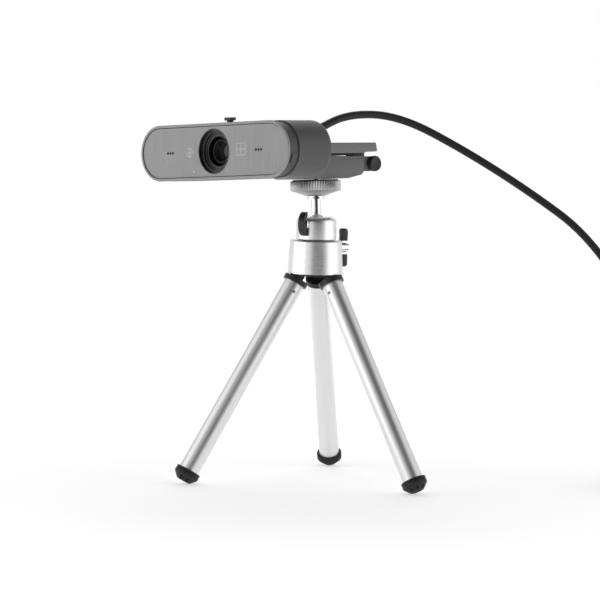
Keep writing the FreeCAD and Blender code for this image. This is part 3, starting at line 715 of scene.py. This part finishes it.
def makeRingWing(name, wing):
    # a C shaped handle, open towards the socket: a flat oval with its middle and its inner half cut away
    out = wing["inner"] + wing["depth"] - wing["open"]
    made = []
    half = wing["tall"] / 2
    for across, tall, wide in ((out, half, wing["wide"]), (out - wing["band"], half - wing["rim"], 9)):
        clearSelection()
        bpy.ops.mesh.primitive_cylinder_add(vertices=64, radius=1, depth=wide * mm)
        oval = startPiece(name)
        editAll()
        bpy.ops.transform.resize(value=(across * mm, tall * mm, 1))
        bpy.ops.transform.rotate(value=pi / 2, orient_axis="X", center_override=(0, 0, 0))
        bpy.ops.transform.translate(value=(wing["open"] * mm, 0, 0))
        bpy.ops.object.mode_set(mode="OBJECT")
        made.append(oval)
    takeFrom(*made)
    cutAway(made[0], (wing["open"], 0, 0), (-1, 0, 0))
    roundEdges(made[0], 0.4, 3, 40)
    return made[0]


def makeWings():
    for body, wing in wings.items():
        if body == "ball_lock":
            piece = makeRingWing("ballLockWing", wing)
        else:
            piece = makeLongWing("panLockWing", wing)
        axis = joints[wing["joint"]]["axis"]
        turn = Matrix.Rotation(atan2(axis[1], axis[0]), 4, "Z")
        height = Matrix.Translation((0, 0, joints[wing["joint"]]["pos_m"][2]))
        setDown(piece, upright @ height @ turn, looks["wing"], body, [f"{body}_wing"])


makeWings()

ballScrew = {"tip": 5.95, "shank": 2.0, "collar": 2.6, "shoulder": 10.75, "head": 11.8}


def makeBallScrew():
    s = ballScrew
    profile = [(0, s["tip"]), (1.4, s["tip"]), (s["shank"], s["tip"] + 0.6), (s["shank"], s["shoulder"] - 0.3)]
    profile += [(s["shank"] + 0.3, s["shoulder"]), (s["collar"], s["shoulder"] + 0.1), (s["collar"], s["head"])]
    profile += [(1.1, s["head"] + 0.05), (1.1, s["head"] + 1.6), (0, s["head"] + 1.6)]
    piece = spinProfile("ballLockScrew", profile, 48)
    roundEdges(piece, 0.12, 2, 30)
    joint = joints["ball_lock_turn"]
    turn = Matrix.Rotation(atan2(joint["axis"][1], joint["axis"][0]), 4, "Z") @ Matrix.Rotation(pi / 2, 4, "Y")
    height = Matrix.Translation((0, 0, joint["pos_m"][2]))
    setDown(piece, upright @ height @ turn, looks["chrome"], "ball_lock", ["ball_lock_screw"])


makeBallScrew()

disc = {"radius": 12.9, "height": 5.0, "cone": 3.1, "neck": 4.6, "bore": 3.2, "knurls": 60, "depth": 0.62, "foot": 0.35, "seat": 145.45}


def makeDisc():
    ridges = disc["knurls"]
    radius, rise = disc["radius"], disc["cone"] + 0.2
    clearSelection()
    bpy.ops.mesh.primitive_cylinder_add(vertices=2 * ridges, radius=radius * mm, depth=(disc["height"] - 0.5) * mm)
    piece = startPiece("thumbDisc")
    editAll()
    bpy.ops.transform.translate(value=(0, 0, (rise + (disc["height"] - 0.5) / 2) * mm))
    bpy.ops.object.mode_set(mode="OBJECT")

    def groove(a, b):
        step = round((atan2(a.y, a.x) % tau) / (pi / ridges))
        return step % 2 and abs(a.z - b.z) > 1

    pick(piece, "EDGE", groove)
    squeeze = 1 - disc["depth"] / radius
    bpy.ops.transform.resize(value=(squeeze, squeeze, 1))
    # the top: a smooth rim, a chamfer, and a shallow dish for the rubber
    pick(piece, "FACE", lambda middle, normal: normal.z > 0.9)
    top = disc["cone"] + disc["height"]
    drawOut(0, 0, 0.3 * mm)
    bpy.ops.transform.resize(value=(0.975, 0.975, 1))
    bpy.ops.mesh.inset(thickness=0.35 * mm)
    bpy.ops.mesh.delete(type="FACE")
    # the cone below, down to the neck
    pick(piece, "FACE", lambda middle, normal: normal.z < -0.9)
    drawOut(0, 0, -0.2 * mm)
    bpy.ops.transform.resize(value=(0.975, 0.975, 1))
    narrow = disc["neck"] / (radius * 0.975)
    drawOut(0, 0, -(disc["cone"] - disc["foot"]) * mm)
    bpy.ops.transform.resize(value=(narrow, narrow, 1))
    inner = disc["bore"] / disc["neck"]
    drawOut(0, 0, 0)
    bpy.ops.transform.resize(value=(inner, inner, 1))
    drawOut(0, 0, (top - disc["foot"] - 0.02) * mm)
    bpy.ops.mesh.delete(type="FACE")
    bpy.ops.object.mode_set(mode="OBJECT")

    def topLoop(a, b):
        level = abs(a.z - b.z) < 0.01 and min(a.z, b.z) > top - 0.05
        return level and max(a.xy.length, b.xy.length) < 12.5

    pick(piece, "EDGE", topLoop)
    bpy.ops.mesh.bridge_edge_loops()
    bpy.ops.mesh.select_all(action="SELECT")
    bpy.ops.mesh.normals_make_consistent(inside=False)
    bpy.ops.object.mode_set(mode="OBJECT")
    roundEdges(piece, 0.12, 2, 28)
    seat = Matrix.Translation((0, 0, disc["seat"] * mm))
    setDown(piece, headPlace @ seat, looks["disc"], "thumb_disc", ["thumb_disc"])


makeDisc()

print("stage 5: webcam face and lens")

lens = {"outer": 11.3, "steps": ((2.4, 9.4), (3.5, 8.4), (3.9, 7.3)), "back": 4.3}


def makeLensCone():
    # a stepped funnel with a fine ridge on the edge of each step
    outer, back = lens["outer"], lens["back"]
    profile = [(outer, 0.42), (outer, back), (lens["steps"][-1][1], back)]
    radii = [outer - 0.6] + [radius for _, radius in lens["steps"]]
    depths = [depth for depth, _ in lens["steps"]]
    for step in (2, 1, 0):
        radius, wider, depth = radii[step + 1], radii[step], depths[step]
        profile += [(radius, depth + 0.1), (radius + 0.12, depth - 0.12)]
        profile += [(radius + 0.3, depth - 0.12), (radius + 0.38, depth + 0.04)]
        middle = (radius + wider) / 2
        if wider - radius > 0.9:
            profile += [(middle - 0.1, depth), (middle, depth - 0.1), (middle + 0.1, depth)]
        profile += [(wider, depth)]
    profile += [(outer - 0.6, 0.6), (outer - 0.45, 0.42), (outer, 0.42)]
    piece = spinProfile("lensCone", profile, 96)
    roundEdges(piece, 0.05, 2, 30)
    setDown(piece, lensPlace, looks["lensRim"], "webcam", ["lens_ring"])


makeLensCone()

barrel = {"radius": 6.1, "front": 5.3, "length": 10.2, "glass": 3.6, "glassAt": 3.2, "glassThick": 1.8}


def makeLensBarrel():
    b = barrel
    front, back = b["front"], b["front"] + b["length"]
    seat = front + b["glassAt"]
    profile = [
        (b["radius"] - 0.35, front), (b["radius"], front + 0.3), (b["radius"], back), (b["glass"] - 0.8, back),
        (b["glass"] - 0.8, seat + b["glassThick"]), (b["glass"], seat + b["glassThick"]), (b["glass"], seat),
        (b["glass"] + 0.25, seat - 0.1),
    ]
    radius, depth = b["glass"] + 0.25, seat - 0.1
    for _ in range(4):  # anti-glare threads inside the mouth
        profile += [(radius + 0.28, depth - 0.3), (radius + 0.14, depth - 0.45)]
        radius, depth = radius + 0.28, depth - 0.6
    profile += [(b["radius"] - 1.0, front + 0.25), (b["radius"] - 0.8, front), (b["radius"] - 0.35, front)]
    piece = spinProfile("lensBarrel", profile, 96)
    roundEdges(piece, 0.05, 2, 30)
    setDown(piece, lensPlace, looks["lensDark"], "webcam", ["lens_barrel"])
    curve = [(0, seat - 0.35)]
    for step in range(1, 9):
        reach = (b["glass"] - 0.02) * step / 8
        curve.append((reach, seat - 0.35 + 0.6 * (reach / b["glass"]) ** 2))
    curve += [(b["glass"] - 0.02, seat + b["glassThick"] - 0.1), (0, seat + b["glassThick"] - 0.4)]
    glass = spinProfile("frontElement", curve, 72)
    setDown(glass, lensPlace, looks["glass"], "webcam", ["front_glass"], 60)


makeLensBarrel()

face = {"bezel": 1.3, "line": 0.4, "depth": 0.5, "proud": 0.06}


def stadiumRing(name, inset, width, near, far):
    # a flat bar with round ends, cut down to a ring; drawn on the lens's axis, +Z into the webcam
    half = (webcam["width"] - webcam["height"]) / 2
    made = []
    for edge in (inset, inset + width):
        radius = webcam["height"] / 2 - edge
        clearSelection()
        bpy.ops.mesh.primitive_cylinder_add(vertices=96, radius=radius * mm, depth=(far - near) * mm)
        bar = startPiece(name)
        for side in (1, -1):
            pick(bar, "VERT", lambda middle: middle.x * side > 0.01)
            bpy.ops.transform.translate(value=(half * side * mm, 0, 0))
        bpy.ops.mesh.select_all(action="SELECT")
        bpy.ops.transform.translate(value=(0, 0, (near + far) / 2 * mm))
        if made:
            bpy.ops.transform.resize(value=(1, 1, 3))
        bpy.ops.object.mode_set(mode="OBJECT")
        made.append(bar)
    takeFrom(*made)
    return made[0]


def makeFaceLine():
    # a dark ring along the bezel's inner edge: painted shade standing in for the shadow in the gap between bezel and
    # face panel
    near = face["depth"] - face["proud"]
    piece = stadiumRing("faceGapShade", face["bezel"] - 0.06, face["line"], near, face["depth"] + 0.3)
    setDown(piece, lensPlace, looks["lensDark"], "webcam")


makeFaceLine()

icons = {"ring": (-17.8, 0.2), "frame": (19.7, -0.6), "proud": 0.04, "line": 0.42}


def placeIcon(piece, middle):
    depth = face["depth"] - icons["proud"] / 2
    at = lensPlace @ Matrix.Translation((middle[0] * mm, middle[1] * mm, depth * mm))
    setDown(piece, at, looks["icon"], "webcam")


def makeRingIcon():
    # a broken ring round a dot
    clearSelection()
    bpy.ops.mesh.primitive_cylinder_add(vertices=40, radius=2.3 * mm, depth=icons["proud"] * mm)
    piece = startPiece("ringIcon")
    clearSelection()
    bpy.ops.mesh.primitive_cylinder_add(vertices=40, radius=(2.3 - icons["line"] * 1.4) * mm, depth=mm)
    takeFrom(piece, startPiece("hole"))
    for turn in (35, 215):
        gap = startBlock("gap", (1.0, 3.0), (-0.45, 0.45), (-1, 1))
        gap.matrix_world = Matrix.Rotation(radians(turn), 4, "Z")
        bpy.context.view_layer.update()
        takeFrom(piece, gap)
    clearSelection()
    bpy.ops.mesh.primitive_cylinder_add(vertices=32, radius=0.85 * mm, depth=icons["proud"] * mm)
    weld(piece, startPiece("dot"))
    placeIcon(piece, icons["ring"])


def makeFrameIcon():
    # a square frame with a bar across and one up
    wide, tall, line, thin = 3.4, 3.1, icons["line"], icons["proud"] / 2
    piece = startBlock("frameIcon", (-wide, wide), (-tall, tall), (-thin, thin))
    for x in ((-wide + line, -line / 2), (line / 2, wide - line)):
        for y in ((-tall + line, -line / 2), (line / 2, tall - line)):
            takeFrom(piece, startBlock("pane", x, y, (-1, 1)))
    placeIcon(piece, icons["frame"])


makeRingIcon()
makeFrameIcon()

lever = {"at": 12.0, "wide": 4.6, "deep": 3.7, "tall": 1.5, "up": 1.3, "stalk": 2.4, "ribs": 4}


def makeLever():
    # drawn upright at the webcam's top, with finger ribs across the head
    top = webcam["middle"] + webcam["height"] / 2 + lever["up"]
    y = webcam["front"] + lever["at"]
    wide, deep = lever["wide"] / 2, lever["deep"] / 2
    piece = startBlock("sliderLever", (-wide, wide), (y - deep, y + deep), (top, top + lever["tall"]))
    pitch = lever["wide"] / (lever["ribs"] + 1)
    for rib in range(1, lever["ribs"] + 1):
        x = -lever["wide"] / 2 + pitch * rib
        heights = (top + lever["tall"] - 0.3, top + 9)
        takeFrom(piece, startBlock("notch", (x - 0.17, x + 0.17), (y - 9, y + 9), heights))
    half = lever["stalk"] / 2
    stalk = startBlock("stalk", (-half, half), (y - half, y + half), (top - 5.3, top + 0.2))
    weld(piece, stalk)
    roundEdges(piece, 0.14, 2, 30)
    setDown(piece, headPlace, looks["shell"], "privacy_slider", ["slider_lever"])


makeLever()

print("stage 6: clip, strain relief and plug")


def startPrism(name, outline, x):
    # a flat outline of (y, z) points in mm, filled and drawn out along X
    clearSelection()
    bpy.ops.mesh.primitive_plane_add(size=mm, location=(0, 0, 0))
    piece = startPiece(name)
    bpy.ops.object.mode_set(mode="EDIT")
    bpy.ops.mesh.select_mode(type="VERT")
    bpy.ops.mesh.select_all(action="SELECT")
    bpy.ops.mesh.merge(type="CENTER")
    bpy.ops.transform.translate(value=(x[0] * mm, outline[0][0] * mm, outline[0][1] * mm))
    for (fromY, fromZ), (y, z) in zip(outline, outline[1:]):
        step = (0, (y - fromY) * mm, (z - fromZ) * mm)
        drawOut(*step)
    bpy.ops.mesh.select_all(action="SELECT")
    bpy.ops.mesh.edge_face_add()
    drawOut((x[1] - x[0]) * mm, 0, 0)
    bpy.ops.mesh.select_all(action="SELECT")
    bpy.ops.mesh.normals_make_consistent(inside=False)
    bpy.ops.object.mode_set(mode="OBJECT")
    return piece


def startRod(name, radius, x, y, z, steps=48):
    # a cylinder along X
    clearSelection()
    bpy.ops.mesh.primitive_cylinder_add(vertices=steps, radius=radius * mm, depth=(x[1] - x[0]) * mm)
    piece = startPiece(name)
    editAll()
    bpy.ops.transform.rotate(value=pi / 2, orient_axis="Y", center_override=(0, 0, 0))
    bpy.ops.transform.translate(value=((x[0] + x[1]) / 2 * mm, y * mm, z * mm))
    bpy.ops.object.mode_set(mode="OBJECT")
    return piece


clip = {
    "half": 11.0, "pin": (33.2, 161.85), "pinHole": 1.25, "ear": 3.8, "lug": (3.15, 8.0),
    "insert": (5.0, 8.0), "round": 0.5,
    "block": [
        (-26, 158.45), (-18, 154.45), (12.9, 154.45), (22.8, 156.25), (24.4, 157.85), (24.4, 165.85), (-26, 165.85),
    ],
    "arm": [(-28.1, 167.2), (24.8, 167.2), (26.8, 168.0), (34.4, 168.0), (33.5, 172.6), (-28.1, 172.6)],
    "tilt": (-33.4, 169.9), "cheek": (4.35, 2.7), "knuckle": (2.8, 3.4), "arch": 24.95,
}


def makeBlock():
    y, z = clip["pin"]
    floor = min(point[1] for point in clip["block"])
    piece = startPrism("clipBlock", clip["block"], (-clip["half"], clip["half"]))
    roundEdges(piece, clip["round"], 3, 25)
    for side in (-1, 1):
        lug = sorted(side * value for value in clip["lug"])
        weld(piece, startPrism("lug", [(23.4, z - 3.8), (y, z - 3.8), (y, z + 3.8), (23.4, z + 3.8)], lug))
        weld(piece, startRod("ear", clip["ear"], lug, y, z))
        span = sorted((side * 2.2, side * 8.6))
        takeFrom(piece, startBlock("relief", span, (-16.5, -7.5), (floor - 1, floor + 1.4)))
    takeFrom(piece, startRod("pinHole", clip["pinHole"], (-12, 12), y, z))
    # a parting line round the outside, and the hole for the brass insert
    takeFrom(piece, startBlock("parting", (-12, 12), (-27, 22.9), (164.35, 164.5)))
    weld(piece, startBlock("core", (-clip["half"] + 0.15, clip["half"] - 0.15), (-25.85, 22.0), (164.2, 164.7)))
    radius, deep = clip["insert"]
    radius += 0.02
    outline = [(0, floor - 1), (radius, floor - 1), (radius, floor + deep), (0, floor + deep)]
    hole = spinProfile("hole", outline, 64)
    takeFrom(piece, hole)
    setDown(piece, headPlace, looks["clip"], "clip_foot", ["clip_block"])


def makeArm():
    y, z = clip["tilt"]
    wide, ear = clip["cheek"]
    knuckle, barrel = clip["knuckle"]
    pinY, pinZ = clip["pin"]
    piece = startPrism("clipArm", clip["arm"], (-clip["half"], clip["half"]))
    roundEdges(piece, clip["round"], 3, 25)
    for side in (-1, 1):
        span = sorted((side * wide, side * clip["half"]))
        weld(piece, startPrism("cheek", [(y, z - ear), (-27.6, z - ear), (-27.6, z + ear), (y, z + ear)], span))
        weld(piece, startRod("cheekEnd", ear, span, y, z))
    neck = [(clip["arch"], pinZ), (32.8, pinZ), (32.8, 169.2), (clip["arch"], 169.2)]
    weld(piece, startPrism("neck", neck, (-knuckle, knuckle)))
    weld(piece, startRod("knuckle", barrel, (-knuckle, knuckle), pinY, pinZ))
    takeFrom(piece, startRod("pinHole", clip["pinHole"], (-12, 12), pinY, pinZ))
    takeFrom(piece, startRod("tiltHole", 1.2, (-12, 12), y, z))
    # a long shallow panel in the top and three thumb ribs at its back end
    takeFrom(piece, startBlock("panel", (-8.6, 8.6), (-22, 20), (172.3, 174)))
    for rib in range(3):
        weld(piece, startBlock("rib", (-7.5, 7.5), (11.5 + rib * 2.4, 12.4 + rib * 2.4), (172.0, 172.58)))
    setDown(piece, headPlace, looks["arm"], "clip_arm", ["clip_arm"])


def makeCaps():
    y, z = clip["pin"]
    profile = [(0, 8.0), (3.75, 8.0), (4.0, 8.25), (4.0, 10.3), (3.85, 10.7)]
    profile += [(3.5, 10.95), (3.1, 11.0), (2.7, 10.75), (1.2, 10.6), (0, 10.6)]
    right = spinProfile("pinCap1", profile, 56)
    roundEdges(right, 0.08, 2, 30)
    left = copyPiece(right, "pinCap2")
    at = headPlace @ Matrix.Translation((0, y * mm, z * mm))
    setDown(left, at @ Matrix.Rotation(-pi / 2, 4, "Y"), looks["cap"], "clip_foot")
    setDown(right, at @ Matrix.Rotation(pi / 2, 4, "Y"), looks["cap"], "clip_foot", ["pin_caps"])


makeBlock()
makeArm()
makeCaps()

relief = {"at": (15.0, -39.5, 172.75), "flange": (4.2, 1.0), "sleeve": (3.4, 2.7, 5.0), "bore": 2.05, "ribs": 3}


def makeRelief():
    # a tapered sleeve with three rings cut round it
    wide, thick = relief["flange"]
    start, end, length = relief["sleeve"]
    profile = [(relief["bore"], 0.0), (wide, 0.0), (wide, thick - 0.25), (wide - 0.25, thick), (start, thick)]
    for rib in range(relief["ribs"]):
        share = (rib + 0.6) / (relief["ribs"] + 0.6)
        radius, height = start + (end - start) * share, thick + length * share
        profile += [(radius, height - 0.35), (radius - 0.35, height - 0.28)]
        profile += [(radius - 0.35, height + 0.28), (radius, height + 0.35)]
    tip, bore = thick + length, relief["bore"]
    profile += [(end, tip - 0.3), (end - 0.3, tip), (bore, tip), (bore, 0.0)]
    piece = spinProfile("strainRelief", profile, 56)
    roundEdges(piece, 0.06, 2, 30)
    at = headPlace @ Matrix.Translation([value * mm for value in relief["at"]]) @ Matrix.Rotation(-pi / 2, 4, "X")
    setDown(piece, at, looks["plugRubber"], "webcam", ["cable_gland"])


makeRelief()

plug = {
    "grip": ((67.67, 93.67), (156.73, 171.73), (0.05, 7.95)), "sleeve": (3.0, 96.67), "ribs": 6,
    "shell": ((55.67, 69.0), (158.23, 170.23), (1.75, 6.25)), "wall": 0.32, "axis": (164.234, 4.0),
}


def makePlug():
    (back, front), sides, heights = plug["grip"]
    y, z = plug["axis"]
    grip = startBlock("plugGrip", (back, front), sides, heights)
    pick(grip, "FACE", lambda middle, normal: normal.x > 0.9)
    bpy.ops.transform.resize(value=(1, 0.8, 0.9))
    bpy.ops.object.mode_set(mode="OBJECT")
    roundEdges(grip, 1.4, 4, 30)
    for rib in range(plug["ribs"]):
        x = back + 7 + rib * 2.1
        for side in sides:
            takeFrom(grip, startBlock("notch", (x - 0.45, x + 0.45), (side - 0.95, side + 0.95), (1.6, 6.4)))
    sleeve = startRod("sleeve", plug["sleeve"][0], (front - 1, plug["sleeve"][1]), y, z)
    pick(sleeve, "FACE", lambda middle, normal: normal.x > 0.9)
    bpy.ops.transform.resize(value=(1, 0.82, 0.82))
    bpy.ops.object.mode_set(mode="OBJECT")
    weld(grip, sleeve)
    setDown(grip, Matrix.Identity(4), looks["plugRubber"], "webcam", ["plug_grip"])
    (end, root), sides, heights = plug["shell"]
    shell = startBlock("plugShell", (end, root), sides, heights)
    roundEdges(shell, 0.35, 3, 30)
    wall = plug["wall"]
    inside, level = (sides[0] + wall, sides[1] - wall), (heights[0] + wall, heights[1] - wall)
    inner = startBlock("inner", (end - 1, root - 1.6), inside, level)
    takeFrom(shell, inner)
    for side in (-2.9, 2.9):  # the two latch windows, above and below
        across, through = (y + side - 1.1, y + side + 1.1), (heights[0] - 1, heights[1] + 1)
        takeFrom(shell, startBlock("window", (end + 5.1, end + 7.4), across, through))
    setDown(shell, Matrix.Identity(4), looks["nickel"], "webcam", ["plug_shell"])
    inside, level = (inside[0] + 0.2, inside[1] - 0.2), (z - 0.05, level[1] - 0.02)
    tongue = startBlock("plugTongue", (end + 0.6, root - 1.4), inside, level)
    setDown(tongue, Matrix.Identity(4), looks["tongue"], "webcam")
    contacts = startBlock("plugContacts", (end + 1.2, end + 8.6), (y - 4.0, y - 3.0), (z - 0.14, z - 0.03))
    choose(contacts)
    spacing = {"use_relative_offset": False, "use_constant_offset": True, "constant_offset_displace": (0, 2.34 * mm, 0)}
    applyModifier(contacts, "ARRAY", count=4, **spacing)
    setDown(contacts, Matrix.Identity(4), looks["gold"], "webcam")
    return [grip, shell, tongue, contacts]


tie = {"angle": 200.0, "half": 3.2, "across": 6.45, "thick": 0.9}


def makeTie():
    # a flat strap round the coil's bundle, with its tail folded down the outside
    clearSelection()
    bpy.ops.mesh.primitive_cylinder_add(vertices=56, radius=1, depth=2 * tie["half"] * mm)
    strap = startPiece("coilTie")
    editAll()
    bpy.ops.transform.resize(value=(tie["across"] * mm, 5.95 * mm, 1))
    bpy.ops.transform.rotate(value=pi / 2, orient_axis="X", center_override=(0, 0, 0))
    bpy.ops.object.mode_set(mode="OBJECT")
    hole = copyPiece(strap, "hole")
    hole.scale = (1 - tie["thick"] / tie["across"], 3, 1 - tie["thick"] / 5.95)
    bpy.context.view_layer.update()
    takeFrom(strap, hole)
    tail = startBlock("tail", (tie["across"] - 0.5, tie["across"] + 0.9), (-2.4, 2.4), (-3.4, 3.6))
    weld(strap, tail)
    roundEdges(strap, 0.2, 2, 40)
    x, y = cable["coilMiddle"]
    turn = Matrix.Rotation(radians(tie["angle"]), 4, "Z") @ Matrix.Translation((cable["coilRadius"] * mm, 0, 0))
    at = Matrix.Translation((x * mm, y * mm, cable["coilHeight"] * mm))
    setDown(strap, at @ turn, looks["tie"], "webcam")
    return strap


cablePieces = makePlug() + [makeTie()]

socket = {
    "radius": 10.15, "low": 123.75, "height": 11.8, "round": 3.0, "neck": 3.1, "mouth": (4.6, 6.3),
    "ball": 5.65, "bowl": 6.8, "lockHole": 2.1,
}


def arcPoints(middle, radius, fromAngle, toAngle, steps):
    # points on an arc in the (radius, height) plane, angles in degrees from the horizontal
    angles = [radians(fromAngle + (toAngle - fromAngle) * step / steps) for step in range(steps + 1)]
    return [(middle[0] + radius * cos(angle), middle[1] + radius * sin(angle)) for angle in angles]


def makeSocket():
    s = socket
    top, middle = s["low"] + s["height"], ball.z / mm
    mouth, mouthTop = s["mouth"]
    profile = [(s["neck"], s["low"]), (s["radius"] - 0.35, s["low"]), (s["radius"], s["low"] + 0.35)]
    profile += arcPoints((s["radius"] - s["round"], top - s["round"]), s["round"], 0, 90, 8)
    profile += [(mouthTop + 0.15, top), (mouthTop, top - 0.12)]
    lip = degrees(acos(mouth / s["ball"]))
    profile += arcPoints((0, middle), s["ball"], lip, 2, 6)
    floor = -degrees(acos(s["neck"] / s["bowl"]))
    profile += arcPoints((0, middle), s["bowl"], 2, floor, 10)
    profile += [profile[0]]
    piece = spinProfile("socketBody", profile, 96)
    lock = joints["ball_lock_turn"]
    hole = startRod("lockHole", s["lockHole"], (0, 14), 0, lock["pos_m"][2] / mm)
    hole.matrix_world = Matrix.Rotation(atan2(lock["axis"][1], lock["axis"][0]), 4, "Z")
    bpy.context.view_layer.update()
    takeFrom(piece, hole)
    setDown(piece, upright, looks["hub"], "socket", ["socket_body"], 25)


makeSocket()

print("stage 9: studio")

lighting = {
    "floor": 1.6,
    "openingAside": 12.0,
    "opening": (0.76, 0.95),
    "roof": (0.25, 0.7),
    "surround": 0.8,  # how bright the tent is at the sides
    "panels": [
        # name, heading from the camera's own, height, distance, width, tall, watts
        ("leftPanel", -78, 0.3, 0.85, 1.0, 1.0, 2.6),
        ("rightPanel", 84, 0.4, 0.85, 1.0, 1.0, 1.8),
        ("floorWash", 180, 0.8, 0.6, 0.9, 0.9, 3.0),
    ],
}


def makeFloor():
    clearSelection()
    bpy.ops.mesh.primitive_circle_add(vertices=96, radius=lighting["floor"], fill_type="NGON", location=(0, 0, 0))
    floor = bpy.context.active_object
    floor.name = "paperFloor"
    floor.data.materials.append(seamlessPaper("seamlessPaper"))


def makeTent():
    # a white tent that is dark overhead and where the camera's opening is
    world = bpy.data.worlds.new("studioTent")
    bpy.context.scene.world = world
    tent = Finish("studioTent", world)
    heading = radians(shot["heading"] + lighting["openingAside"])
    look = tent.node("ShaderNodeTexCoord")
    x, y, z = tent.split(look)
    toward = x * sin(heading) - y * cos(heading)
    opening = tent.smooth(toward, *lighting["opening"])
    roof = tent.smooth(z, *lighting["roof"])
    glow = (1 - opening * 0.94) * (1 - roof * 0.9) * lighting["surround"]
    ambient = tent.node("ShaderNodeBackground", None, {"Color": (1, 1, 1, 1), "Strength": glow})
    paper = tent.node("ShaderNodeBackground", None, {"Color": (1, 1, 1, 1), "Strength": 1.0})
    ray = tent.node("ShaderNodeLightPath")
    both = tent.node("ShaderNodeMixShader", None, {0: ray, 1: ambient, 2: paper})
    end = tent.tree.nodes.new("ShaderNodeOutputWorld")
    tent.tree.links.new(both.socket, end.inputs["Surface"])


def makeLights():
    middle = upright.translation + Vector((0, 0, 0.1))
    for name, heading, height, distance, width, tall, watts in lighting["panels"]:
        angle = radians(shot["heading"] + heading - 90)
        data = bpy.data.lights.new(name, "AREA")
        data.shape = "RECTANGLE"
        data.size = width
        data.size_y = tall
        data.energy = watts
        lamp = bpy.data.objects.new(name, data)
        bpy.context.scene.collection.objects.link(lamp)
        lamp.location = middle + Vector((cos(angle) * distance, sin(angle) * distance, height - 0.1))
        lamp.rotation_euler = (middle - lamp.location).to_track_quat("-Z", "Y").to_euler()
        lamp.visible_camera = False


makeFloor()
makeTent()
makeLights()
bpy.context.scene.view_settings.view_transform = "Standard"
